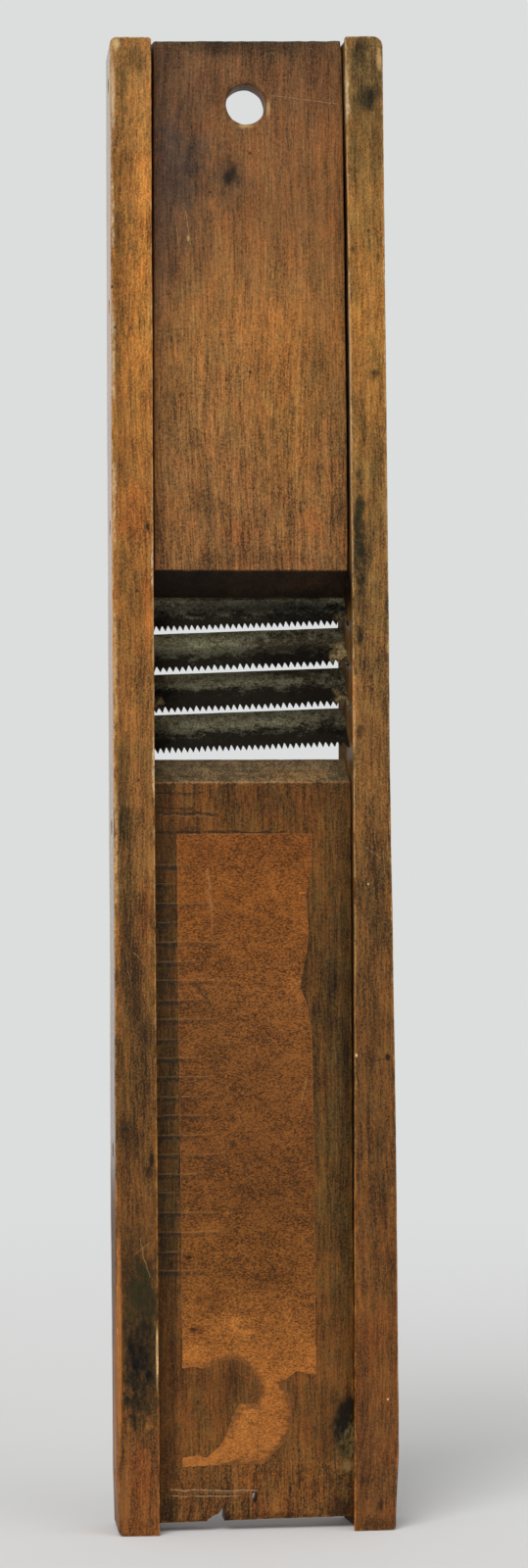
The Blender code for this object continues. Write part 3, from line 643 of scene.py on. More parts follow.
lowerLook = {
    **railLook, "shift": 1.43, "front": boardFront, "rings": 0.5, "ringGap": 1.3, "hues": 0.7,
    "gloss": 0.15,
    "contrast": [(3, 0.72), (18, 0.66), (27, 0.42), (62, 0.42), (90, 0.50), (160, 0.54), (242, 0.52)],
    "mottle": 0.9, "pores": 0.4, "wearReach": 0.36, "wearAmount": 0.7, "bare": (0.38, 0.17, 0.06),
    "bareDark": (0.20, 0.08, 0.025),
    "along": [
        (3, (0.125, 0.050, 0.011)), (20, (0.146, 0.056, 0.011)), (60, (0.146, 0.054, 0.010)),
        (95, (0.108, 0.048, 0.009)), (160, (0.104, 0.045, 0.009)), (205, (0.112, 0.047, 0.009)),
        (226, (0.132, 0.052, 0.010)), (242, (0.116, 0.048, 0.011)),
    ],
    "stainsAndPaintedLight": [
        spot(-29.5, 140, 6.0, 420, (0.47, 0.48, 0.38), 0.88, soft=0.3, ragged=0.5, patchy=0.3),
        spot(-22, 238, 12, 5, (0.62, 0.66, 0.66), 0.8, y=-1, deep=9, ragged=2.2),
        spot(14, 236.5, 17, 3, (1.35, 1.15, 0.85), 0.8, y=-2, deep=9, ragged=2.2),
        spot(29, 237, 5, 6, (0.6, 0.6, 0.56), 0.8, y=-1, deep=9, ragged=1.6),
        spot(-8, 239.8, 24, 1.1, (0.5, 0.5, 0.5), 0.65, y=-1, deep=9, ragged=0.8),
        spot(9, 238.0, 22, 0.9, (0.52, 0.52, 0.52), 0.65, y=-2, deep=9, ragged=0.8),
        spot(-3, 236.3, 28, 0.8, (0.55, 0.52, 0.5), 0.65, y=-3, deep=9, ragged=0.8),
        # painted light: a strip along the left edge by the rail is lightened against the shade of the joint
        spot(-30.6, 130, 1.1, 110, (1.6, 1.5, 1.4), 0.8, soft=0.6, ragged=0.3, patchy=0),
        spot(27.5, 140, 5.0, 300, (0.80, 0.93, 1.04), 0.8, soft=0.5), spot(25.0, 172, 3.4, 9, olive, 0.8),
        spot(23.6, 160, 2.4, 7, olive, 0.7), spot(29.4, 165, 2.4, 60, smoke, 0.7),
        spot(0, 229, 24, 5, brown, 0.4), spot(20, 226, 9, 8, brown, 0.5, patchy=0.5),
        spot(-22, 216, 8, 9, smoke, 0.6), spot(2, 10, 26, 8, (1.15, 1.05, 1.0), 0.4),
        spot(-7.5, 48, 4.2, 6, smoke, 0.8), spot(-10, 47, 10, 11, brown, 0.5, patchy=0.5),
        # darker along the foot edge and at the bottom right corner
        spot(27.9, 6.5, 8, 6, (0.30, 0.28, 0.26), 0.9), spot(0, 3.6, 33, 2.6, (0.42, 0.38, 0.34), 0.8),
        spot(32.0, 31.0, 8.2, 11.5, (0.010, 0.007, 0.002), 0.98, "MIX", soft=0.25, ragged=0.6, patchy=0),
        spot(31.8, 26.4, 6.6, 9.0, (0.150, 0.100, 0.032), 0.97, "MIX", soft=0.6, ragged=2.6, patchy=0.7),
        spot(27.6, 25.0, 0.8, 1.4, night, 0.9, "MIX"), spot(29.6, 26.6, 0.9, 0.7, night, 0.9, "MIX"),
        spot(30.6, 22.6, 0.5, 0.9, night, 0.9, "MIX"), spot(29.0, 19.6, 3.0, 2.6, straw, 0.25, "MIX"),
        spot(24, 34, 5, 16, brown, 0.5), spot(26.3, 82.5, 1.2, 5, orange, 0.6),
    ],
    "faces": [
        {
            "point": (0, boardFront, 234.6), "normal": (0, -7.3, 9.5), "dark": (0.072, 0.049, 0.023),
            "light": (0.262, 0.168, 0.075), "amount": 0.92, "noWear": 0.0,
        },
    ],
    "marks": [
        {
            "sizes": {"First": 0.0820, "Pitch": 0.00605, "Count": 22.0, "Left": -0.0305, "Length": 0.016},
            "lip": (0.17, 0.10, 0.045), "cut": (0.018, 0.012, 0.006), "amount": 0.6, "dark": 0.85,
        },
    ],
    "scratches": [
        line(-30.5, 231.2, -17.0, 230.6, 0.6, (0.018, 0.010, 0.006), 0.7, 1.2),
        line(-30.5, 226.4, -19.0, 226.0, 0.6, (0.018, 0.010, 0.006), 0.6, 1.4),
        line(-29.8, 225.0, -10.5, 224.2, 0.6, (0.018, 0.010, 0.006), 0.8, 1.6),
        line(-30.0, 218.8, 10.0, 218.6, 0.55, (0.018, 0.010, 0.006), 0.75, 1.2),
        line(-29.0, 224.5, -12.0, 223.3, 0.3, (0.22, 0.10, 0.035), 0.6, 1.6),
        line(-27.0, 13.1, 0.2, 12.4, 0.24, (0.42, 0.26, 0.14), 0.8),
        line(-26.4, 11.2, -5.1, 10.7, 0.22, (0.40, 0.25, 0.13), 0.75),
        line(-20.0, 12.2, -3.0, 11.9, 0.16, (0.36, 0.22, 0.11), 0.5),
        line(0.1, 39.0, 0.0, 4.0, 0.22, (0.010, 0.006, 0.004), 0.85, 0.3),
    ],
}
woods = {"left_rail": woodMaterial("left rail wood", leftRailLook),
         "right_rail": woodMaterial("right rail wood", rightRailLook),
         "upper_board": woodMaterial("upper board wood", upperLook),
         "lower_board": woodMaterial("lower board wood", lowerLook)}


bladeLook = {
    "greys": [(0.031, 0.025, 0.015), (0.066, 0.060, 0.036), (0.115, 0.108, 0.070)],
    "black": (0.008, 0.0055, 0.003),
    "stainsAndPaintedLight": [
        spot(-14, 278.5, 14, 5.0, (1.35, 1.45, 1.30), 0.8, y=4, deep=9, soft=0.9),
        spot(18, 275, 21, 9.5, (0.26, 0.21, 0.18), 0.95, y=3, deep=14, soft=0.35, ragged=2.0, patchy=0.35),
        # painted shadow: the top of the top blade is darkened where the upper board shades it
        spot(0, 291.5, 44, 6.5, (0.16, 0.16, 0.17), 0.92, y=3, deep=9, ragged=0.5, patchy=0),
        spot(20, 288, 18, 6, (0.28, 0.28, 0.30), 0.85, y=3, deep=14, soft=0.4, ragged=2.0, patchy=0.5),
        spot(-28, 288, 7, 6, (0.26, 0.26, 0.26), 0.85, y=3, deep=14, soft=0.4, ragged=2.4, patchy=0.4),
        spot(-29, 263, 8, 7, (0.26, 0.22, 0.19), 0.9, y=2, deep=14, soft=0.4, ragged=2.2),
        spot(22, 262, 12, 7, (0.42, 0.38, 0.34), 0.8, y=2, deep=9, ragged=2.4, patchy=0.5),
        spot(-29, 250, 6, 6, (0.30, 0.27, 0.24), 0.9, y=2, deep=14, soft=0.4, ragged=2.2),
        spot(26, 252, 7, 6, soot, 0.85, y=3, deep=9, ragged=2.2),
        spot(29.6, 275, 4.8, 5.6, crust, 0.8, "MIX", y=3, deep=14, ragged=3.0, patchy=0.8),
        spot(30.0, 260.5, 4.0, 5.0, crust, 0.6, "MIX", y=3, deep=14, ragged=2.0, patchy=0.7),
        spot(29.6, 287, 2.8, 3.0, crust, 0.25, "MIX", y=3, deep=14, ragged=2.2, patchy=0.8),
        spot(-29.8, 259.5, 3.0, 3.6, crust, 0.4, "MIX", y=0, deep=12, ragged=3.0, patchy=0.8),
    ],
}


def makeBladeMaterial():
    # dark patina: olive grey on the flat, black by the filed teeth, brown crust at the ends
    material, tree, shader, place = startMaterial("blade patina")
    edge = stored(tree, "toTeeth")
    blotch = cloud(place, (5.0, 5.0, 2.6), 6.0, 0.72)
    fine = cloud(place, (0.9, 0.9, 0.6), 4.0, 0.72)
    grey = timesPlus(fine, 0.45, times(blotch, 0.55))
    colour = colourRamp(grey, list(zip((0.40, 0.49, 0.60), bladeLook["greys"])))
    # painted light: the flat lies deep between its neighbours and is shaded there, so its colour is
    # brightened away from the teeth to offset that shade, scaled by each blade's patina number
    patina = stored(tree, "patina")
    colour = scaled(colour, times(softStep(edge, 7.0, 13.5, 0.85, 4.4), patina))
    streaks = cloud(place, (0.6, 0.6, 1.1), 3.0, 0.7, (4, 1, 2))
    colour = tint(colour, bladeLook["black"], softStep(streaks, 0.50, 0.60, 0.0, 0.65))
    edge = minus(edge, stored(tree, "blackened"))
    for part, gain in ((blotch, 19.0), (fine, 10.0)):
        edge = timesPlus(minus(part, 0.5), gain, edge)
    black = softStep(edge, 1.5, -1.5)
    colour = tint(colour, bladeLook["black"], times(black, 0.94))
    colour = addStainsAndPaintedLight(colour, place, bladeLook["stainsAndPaintedLight"], 0.0)
    bright = times(softStep(grey, 0.45, 0.6), minus(1.0, black))
    metal = times(bright, 0.3)
    rough = softStep(fine, 0.35, 0.65, 0.46, 0.66)
    pits = timesPlus(softStep(fine, 0.55, 0.7), -0.8, blotch)
    dress(shader, {"Base Color": colour, "Metallic": metal, "Roughness": rough, "Specular IOR Level": 0.08},
          pits, 0.4, 0.3)
    return material


def makeNailMaterial():
    material, tree, shader, place = startMaterial("rusty nail")
    blotch = cloud(place, (1.4, 1.4, 1.4), 4.0, 0.7)
    fine = cloud(place, (0.25, 0.25, 0.25), 2.0, 0.6)
    rust = [(0.35, (0.020, 0.014, 0.011)), (0.5, (0.075, 0.036, 0.020)), (0.66, (0.19, 0.085, 0.035))]
    dress(shader, {"Base Color": colourRamp(blotch, rust),
                   "Metallic": softStep(blotch, 0.4, 0.6, 0.75, 0.15),
                   "Roughness": softStep(fine, 0.3, 0.7, 0.5, 0.8)}, fine, 0.5, 0.2)
    return material


paperLook = {
    "specks": {"Spacing": 0.009, "Size": 0.09, "Share": 0.3},
    "contrast": [(20, 0.46), (60, 0.66), (85, 0.92), (170, 0.95), (195, 0.82), (218, 0.78)],
    "along": [
        (20, (0.335, 0.116, 0.022)), (45, (0.315, 0.106, 0.018)), (62, (0.260, 0.090, 0.016)),
        (80, (0.172, 0.060, 0.010)), (120, (0.142, 0.049, 0.0095)), (165, (0.172, 0.060, 0.012)),
        (195, (0.198, 0.064, 0.010)), (218, (0.184, 0.058, 0.010)),
    ],
    "board": (0.125, 0.048, 0.012), "ink": (0.035, 0.018, 0.009), "cutEdge": (0.30, 0.12, 0.04),
    "straw": (0.46, 0.24, 0.085),
    "marks": {
        "sizes": {"First": 0.0820, "Pitch": 0.00605, "Count": 22.0, "Left": -0.0290, "Length": 0.015},
        "lip": (0.30, 0.14, 0.045), "cut": (0.045, 0.022, 0.010), "amount": 0.55, "dark": 0.5,
    },
    "stainsAndPaintedLight": [
        spot(-6.8, 128.5, 2.0, 2.4, (0.30, 0.30, 0.32), 0.85, ragged=2.4),
        spot(-6.6, 120.5, 1.8, 1.9, soot, 0.7, ragged=2.4), spot(-20.7, 85.5, 1.6, 0.9, soot, 0.9),
        spot(20.1, 82.4, 1.6, 0.9, soot, 0.8), spot(-19.6, 62.9, 1.6, 0.9, soot, 0.85),
        spot(12.5, 171, 4.4, 9, (1.36, 1.36, 1.3), 0.85, soft=0.9),
        spot(14.5, 158, 3.4, 10, (1.25, 1.22, 1.2), 0.7), spot(-6.3, 64.8, 2.4, 4.0, (1.5, 1.55, 1.6), 0.8),
        spot(15.3, 58.2, 4.0, 6.0, (1.3, 1.3, 1.3), 0.7),
        spot(-7.8, 203.6, 3.4, 4.2, (1.4, 1.45, 1.45), 0.85, soft=0.95),
        spot(-20.5, 150, 3.0, 4.0, (1.35, 1.4, 1.4), 0.6),
        spot(-21.2, 99.9, 1.2, 1.2, (1.9, 2.1, 2.2), 0.9), spot(-8.3, 99.4, 0.8, 1.0, (1.9, 2.1, 2.2), 0.9),
        spot(3.0, 112.4, 0.7, 0.8, (1.9, 2.1, 2.2), 0.8), spot(15.8, 199.4, 1.8, 0.6, (2.2, 2.4, 2.6), 0.9),
        spot(-12, 155, 12, 24, (0.80, 0.84, 0.82), 0.6, ragged=2.5),
        spot(4, 104, 18, 26, (0.80, 0.80, 0.78), 0.7, ragged=2.5),
        spot(-14, 71, 7, 7, (0.70, 0.68, 0.66), 0.7, ragged=2.5),
        spot(2, 78, 19, 4.5, (0.72, 0.70, 0.68), 0.7, ragged=2.6),
        spot(-18.5, 62.5, 2.4, 1.8, (0.5, 0.42, 0.40), 0.8, ragged=2.4),
        spot(-4, 33, 6, 9, (1.15, 1.2, 1.25), 0.7, ragged=2.5),
        spot(10, 40, 4.0, 12, (0.88, 0.86, 0.84), 0.7),
        spot(-3.2, 61, 4.0, 6.5, (1.45, 1.5, 1.5), 0.8, soft=0.9, ragged=2.4),
        spot(10.6, 68, 6.0, 5.5, (1.22, 1.2, 1.2), 0.7, ragged=2.4),
        spot(-20.3, 56, 6.0, 4.5, (1.3, 1.35, 1.35), 0.7, ragged=2.6),
        spot(-8, 190, 14, 5, (0.82, 0.84, 0.86), 0.6, ragged=2.4),
        spot(0, 141, 15, 9, (0.86, 0.88, 0.88), 0.6, ragged=2.6),
        spot(10, 122, 8, 6, (1.2, 1.2, 1.2), 0.6, ragged=2.6),
        spot(-16, 214, 8, 4, (0.84, 0.84, 0.84), 0.6),
    ],
    "scratches": [
        line(-14.2, 207, -13.2, 194, 0.7, (0.36, 0.17, 0.06), 0.5, 1.5),
        line(-12.6, 196, -12.9, 187, 0.5, (0.34, 0.15, 0.05), 0.4),
        line(-18.6, 171.3, -14.0, 165.4, 0.7, (0.03, 0.016, 0.009), 0.55, 1.0),
        line(-15.5, 169.5, -12.8, 162, 0.6, (0.03, 0.016, 0.009), 0.45),
        line(15.0, 133, 17.0, 141, 0.4, (0.36, 0.19, 0.07), 0.4),
        line(0.6, 36, 0.4, 22, 0.2, (0.05, 0.025, 0.012), 0.7, 0.3),
    ],
}


def makePaperMaterial():
    # old label paper: brown, rubbed and stained, with no printing left
    material, tree, shader, place = startMaterial("aged label paper")
    pulp = cloud(place, (0.75, 0.75, 0.38), 4.0, 0.75)
    mottle = cloud(place, (3.2, 3.2, 1.6), 5.0, 0.7)
    cloudy = cloud(place, (10, 10, 8), 5.0, 0.65)
    tone = 0.5
    for part, gain in ((pulp, 5.4), (mottle, 0.9), (cloudy, 1.5)):
        tone = timesPlus(minus(part, 0.5), gain, tone)
    strength = amountAlong(place, paperLook["contrast"])
    tone = timesPlus(minus(tone, 0.5), strength, 0.5)
    colour = colourAlong(place, paperLook["along"])
    tone = put("ShaderNodeMapRange", {"Value": tone, "To Min": 0.28, "To Max": 1.72}).outputs["Result"]
    colour = scaled(colour, tone)
    rubbed = times(softStep(mottle, 0.50, 0.40), softStep(pulp, 0.50, 0.40))
    colour = tint(colour, paperLook["ink"], times(rubbed, 0.25))
    colour = addStainsAndPaintedLight(colour, place, paperLook["stainsAndPaintedLight"], boardFront)
    specks = useGroup(speckGroup, {"Vector": place, **paperLook["specks"]})["Mask"]
    colour = tint(colour, paperLook["straw"], times(specks, 0.6))
    colour, height = addMarks(colour, mottle, place, paperLook["marks"])
    colour = addScratches(colour, place, paperLook["scratches"], boardFront - 0.1)
    frayed = timesPlus(minus(mottle, 0.5), 9.0, stored(tree, "tear"))
    colour = tint(colour, paperLook["board"], softStep(frayed, 2.6, -0.2, 0.0, 0.92))
    cutEdge = useGroup(wearGroup, {"Vector": place, "Distance": stored(tree, "arris"), "Reach": 0.28,
                                   "Broken": 0.9})["Mask"]
    colour = tint(colour, paperLook["cutEdge"], times(cutEdge, 0.4))
    dress(shader, {"Base Color": colour, "Roughness": softStep(pulp, 0.3, 0.7, 0.60, 0.78),
                   "Specular IOR Level": 0.14}, height, 0.35, 0.3)
    return material


bladeMaterial = makeBladeMaterial()
nailMaterial = makeNailMaterial()
paperMaterial = makePaperMaterial()
print("materials made")


# wood: each stick or board is a closed grid over a block, shaped point by point
arrisSteps = [0, 0.12, 0.28, 0.5, 0.8, 1.2, 1.8, 2.6]


def spread(length, coarse, extra=()):
    # places along a side, close together at its two ends, as shares of its length
    near = [step for step in arrisSteps if step < length / 2 - coarse]
    first, last = near[-1], length - near[-1]
    count = max(1, round((last - first) / coarse))
    places = near + [mix(first, last, i / count) for i in range(1, count)] + [length - step for step in near]
    return sorted({round(place / length, 6) for place in [*places, *extra]})


def skin(shares, place):
    # the six sides of a block as one closed grid; place(u, v, w) gives the finished point
    lasts = [len(side) - 1 for side in shares]
    shape = bmesh.new()
    known = {}

    def corner(index):
        if index not in known:
            point = place(*(side[i] for side, i in zip(shares, index)))
            known[index] = shape.verts.new(Vector(point) * mm)
        return known[index]

    for axis in range(3):
        across, along = (axis + 1) % 3, (axis + 2) % 3
        for end in (0, lasts[axis]):
            for m in range(lasts[across]):
                for n in range(lasts[along]):
                    ring = []
                    for stepM, stepN in ((0, 0), (1, 0), (1, 1), (0, 1)):
                        index = [0, 0, 0]
                        index[axis], index[across], index[along] = end, m + stepM, n + stepN
                        ring.append(corner(tuple(index)))
                    shape.faces.new(ring if end else ring[::-1])
    return shape


def blockPoint(block, u, v, w):
    y = mix(block["front"], block["back"], v)
    x = mix(block["left"](v, w), block["right"](v, w), u)
    return [x, y, mix(block["bottom"](x, v), block["top"](x, v), w)]


def blockShares(block, point):
    # the other way round, near enough to measure how far a point is from each side
    x, y, z = point
    v = (y - block["front"]) / (block["back"] - block["front"])
    w = (z - block["bottom"](x, v)) / (block["top"](x, v) - block["bottom"](x, v))
    left, right = block["left"](v, w), block["right"](v, w)
    return (x - left) / (right - left), v, w


def insets(shares, sizes):
    return [min(share, 1 - share) * size for share, size in zip(shares, sizes)]


def easeArris(point, shares, sizes, radius):
    # slides a point inwards where it lies closer than the radius to two or three sides
    deep = [max(radius - inset, 0.0) for inset in insets(shares, sizes)]
    far = math.sqrt(sum(d * d for d in deep))
    if far > radius:
        for axis in range(3):
            point[axis] += (1 if shares[axis] < 0.5 else -1) * deep[axis] * (1 - radius / far)


def roundCorner(point, shares, sizes, radius, atRight):
    # rounds an upper corner seen from the front: the square corner becomes a quarter disc
    across = (1 - shares[0] if atRight else shares[0]) * sizes[0]
    down = (1 - shares[2]) * sizes[2]
    if across < radius and down < radius:
        dx, dz = radius - across, radius - down
        scale = max(dx, dz) / max(math.hypot(dx, dz), 1e-9)
        point[0] += (-1 if atRight else 1) * dx * (1 - scale)
        point[2] -= dz * (1 - scale)


def unevenness(point, seed, size, reach):
    return noise.noise_vector(Vector(point) / size + Vector((seed, 0, seed))) * reach


def sawEnd(point, grain, seed, reach):
    # an end that isn't quite straight
    point[2] += reach * noise.noise(Vector((point[0] / grain[0], point[1] / grain[1], seed)))


def woodBlock(block, coarse, extra=((), (), ())):
    sizes = block["sizes"]

    def place(u, v, w):
        shares = (u, v, w)
        point = blockPoint(block, u, v, w)
        for radius, atRight in block.get("roundTops", ()):
            roundCorner(point, shares, sizes, radius, atRight)
        at = Vector(point)
        seed = Vector((block["seed"], 0, 0))
        patchy = noise.noise(at / 7.0 + seed)
        nick = max(0.0, noise.noise(Vector((at.x / 3, at.y / 3, at.z / 3.4)) + seed) - 0.38) * block["nicks"]
        nick += block["worn"](at) if "worn" in block else 0.0
        easeArris(point, shares, sizes, block["arris"] * (1 + 0.45 * patchy) + nick)
        if "shape" in block:
            block["shape"](point, u, v, w)
        point = Vector(point) + unevenness(at, block["seed"], 34.0, 0.12) + unevenness(at, 5.0, 5.0, 0.035)
        point.z = max(point.z, 0.0)
        return point

    shares = [spread(size, step, more) for size, step, more in zip(sizes, coarse, extra)]
    return skin(shares, place)


def meshObject(name, shape):
    mesh = bpy.data.meshes.new(name)
    shape.to_mesh(mesh)
    shape.free()
    made = bpy.data.objects.new(name, mesh)
    bpy.context.scene.collection.objects.link(made)
    return made


def bakeModifiers(piece):
    # keeps what the modifiers make as a plain mesh
    evaluated = piece.evaluated_get(bpy.context.evaluated_depsgraph_get())
    mesh = bpy.data.meshes.new_from_object(evaluated)
    piece.modifiers.clear()
    piece.data = mesh
    mesh.name = piece.name


def carve(piece, cutterShape):
    bmesh.ops.recalc_face_normals(cutterShape, faces=cutterShape.faces)
    cutter = meshObject(piece.name + " cutter", cutterShape)
    cut = piece.modifiers.new("cut", "BOOLEAN")
    cut.object = cutter
    cut.solver = "EXACT"
    bakeModifiers(piece)
    bpy.data.objects.remove(cutter)


def lathe(shape, profile, sides, matrix):
    # a turned body; profile is (radius, height), and a radius of 0 closes it
    rings = []
    for radius, height in profile:
        count = sides if radius else 1
        angles = [math.tau * i / count for i in range(count)]
        rings.append([shape.verts.new(matrix @ Vector((radius * math.cos(a), radius * math.sin(a), height)))
                      for a in angles])
    for lower, upper in zip(rings, rings[1:]):
        for i in range(sides):
            ring = [lower[i % len(lower)], lower[(i + 1) % len(lower)], upper[(i + 1) % len(upper)],
                    upper[i % len(upper)]]
            shape.faces.new(list(dict.fromkeys(ring)))


def prism(shape, outline, back, front):
    # an outline in x and z, made solid from front to back
    near = [shape.verts.new(Vector((x, front, z)) * mm) for x, z in outline]
    far = [shape.verts.new(Vector((x, back, z)) * mm) for x, z in outline]
    shape.faces.new(near)
    shape.faces.new(far[::-1])
    for i in range(len(near)):
        j = (i + 1) % len(near)
        shape.faces.new([near[j], near[i], far[i], far[j]])


def store(piece, name, values):
    piece.data.attributes.new(name, "FLOAT", "POINT").data.foreach_set("value", values)


def markArris(piece, block, edges=()):
    # stores, for each point, how far in millimetres it is from the nearest arris
    values = []
    for vertex in piece.data.vertices:
        point = vertex.co / mm
        if "unshape" in block:
            point = block["unshape"](point)
        near = sorted(insets(blockShares(block, point), block["sizes"]))[1]
        for distance in edges:
            near = min(near, distance(point))
        values.append(max(near, 0.0))
    store(piece, "arris", values)


def finishPiece(piece, material, slot, *nodes):
    piece.data.materials.clear()
    piece.data.materials.append(material)
    piece.data.shade_smooth()
    piece.data.set_sharp_from_angle(angle=math.radians(38))
    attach(piece, "root")
    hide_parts(*nodes)
    print(piece.name, "done:", len(piece.data.polygons), "faces")


# nails, driven through the rails into the boards' edges
nails = {"length": 31.8, "radius": 1.0, "head": 2.2, "headThick": 0.8, "point": 3.0, "room": 0.25}
nailNames = [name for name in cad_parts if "_nail_" in name]


def nailSpot(name):
    # the middle of the head's outer face, and the way the nail points
    low, high = span(name)
    side = -1 if "left" in name else 1
    outer = low.x if side < 0 else high.x
    return Vector((outer, (low.y + high.y) / 2, (low.z + high.z) / 2)), side


def nailFrame(name):
    spot, side = nailSpot(name)
    return Matrix.Translation(spot * mm) @ Matrix.Rotation(side * math.pi / 2, 4, "Y") @ Matrix.Scale(mm, 4)


def addBores(shape, names):
    room = nails["room"]
    head, shank, under = nails["head"] + room, nails["radius"] + room, -nails["headThick"] - room
    for name in names:
        profile = [(0, 1.5), (head + 0.15, 1.5), (head, 0), (head, under), (shank, under),
                   (shank, -nails["length"] + nails["point"]), (0, -nails["length"] - room)]
        lathe(shape, profile, 14, nailFrame(name))


upperNails = [name for name in nailNames if name[-1] in "123"]
lowerNails = [name for name in nailNames if name[-1] in "456"]


# blades
blade = {"tilt": 38.0, "slope": 2.1, "length": 71.4, "width": 15.9, "thickness": 0.9, "kerfRoom": 0.3,
         "notch": 2.7, "plainEnd": 5.0}
bladeNames = [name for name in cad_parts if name.startswith("blade_")]


def bladeFrame(name):
    # the blade's own middle, x along it and y from the teeth to the plain edge
    low, high = span(name)
    turn = Matrix.Rotation(-math.radians(blade["slope"]), 4, "Y") @ Matrix.Rotation(
        math.radians(90 - blade["tilt"]), 4, "X")
    return Matrix.Translation((low + high) / 2 * mm) @ turn @ Matrix.Scale(mm, 4)


def addKerfs(shape):
    sizes = [blade[key] + 2 * blade["kerfRoom"] for key in ("length", "width", "thickness")]
    for name in bladeNames:
        bmesh.ops.create_cube(shape, size=1.0, matrix=bladeFrame(name) @ Matrix.Diagonal((*sizes, 1.0)))


# rails
def makeRail(name, look):
    low, high = span(name)
    side, height = look["side"], slicer["height"]
    inner, outer = (low.x, high.x) if side > 0 else (high.x, low.x)

    def worn(at):
        # deeper at the foot, and there most of all on the outer side
        foot = look["footWear"] * (1 - smooth(at.z, *look["footWearHeight"]))
        return foot * smooth(side * at.x, side * inner, side * outer)

    def sideways(share, y, w):
        # bow, swelling and taper of the outer side, and how far the inner arris leans over the board
        bow = look["bow"] * math.sin(math.pi * min(max(w, 0.0), 1.0))
        taper = look["footTaper"] * (1 - smooth(w * height, 2.0, look["footTaperHeight"]))
        fuller = look["swell"] * (1 - smooth(w * height, *look["swellHeight"]))
        lip = (1 - share) * (1 - smooth(y, low.y, boardFront - 0.4)) * between(look["lip"], w)
        return side * (bow + share * (fuller - taper) - lip)

    def shape(point, u, v, w):
        point[0] += sideways(u if side > 0 else 1 - u, point[1], w)
        if w == 1.0:
            sawEnd(point, (1.3, 1.3), 4.0, 0.10)

    def unshape(point):
        share = min(max((point.x - inner) / (outer - inner), 0.0), 1.0)
        return Vector((point.x - sideways(share, point.y, point.z / height), point.y, point.z))

    block = {
        "front": low.y, "back": high.y, "seed": look["seed"], "arris": look["arris"], "nicks": look["nicks"],
        "left": lambda v, w: channelSide(mix(low.y, high.y, v), w * height) if side > 0 else low.x,
        "right": lambda v, w: high.x - look["topTaper"] * w,
        "bottom": lambda x, v: 0.0, "top": lambda x, v: topAt(x),
        "sizes": (high.x - low.x, high.y - low.y, height),
        "roundTops": look["roundTops"], "worn": worn, "shape": shape, "unshape": unshape,
    }
    rail = meshObject(name.replace("_", "_worn_"), woodBlock(block, (1.3, 1.6, 0.95)))
    cutters = bmesh.new()
    addKerfs(cutters)
    addBores(cutters, [nail for nail in nailNames if look["word"] in nail])
    carve(rail, cutters)
    markArris(rail, block)
    finishPiece(rail, woods[name], "rail_wood", name)


rails = {
    "left_rail": {
        "word": "left", "side": -1, "seed": 3.3, "arris": 0.62, "nicks": 1.6, "bow": slicer["leftBow"],
        "topTaper": 0.0, "footTaper": 0.35, "footTaperHeight": 20.0,
        "roundTops": ((2.0, False), (0.9, True)), "lip": ((0, 0.4), (1, 0.4)), "swell": 0.25,
        "swellHeight": (90.0, 200.0), "footWear": 1.3, "footWearHeight": (60.0, 130.0),
    },
    "right_rail": {
        "word": "right", "side": 1, "seed": 9.1, "arris": 0.62, "nicks": 1.4, "bow": 0.20, "topTaper": 0.7,
        "footTaper": 1.0, "footTaperHeight": 26.0, "roundTops": ((3.2, True), (0.9, False)),
        "lip": ((0, 1.25), (0.35, 0.4), (0.72, 0.2), (0.93, 0.4), (1, 0.45)), "swell": 0.75,
        "swellHeight": (95.0, 250.0), "footWear": 0.8, "footWearHeight": (8.0, 40.0),
    },
}
for railName, railSizes in rails.items():
    makeRail(railName, railSizes)


# upper board, with the hanging hole
upper = {"bevel": 8.0, "planedTop": 1.1, "planedFoot": 0.4, "hole": 6.3, "holeDrop": 20.2, "holeX": -0.15,
         "rim": 0.55, "cornerWear": 0.45, "cornerReach": 6.0, "joint": 0.6}


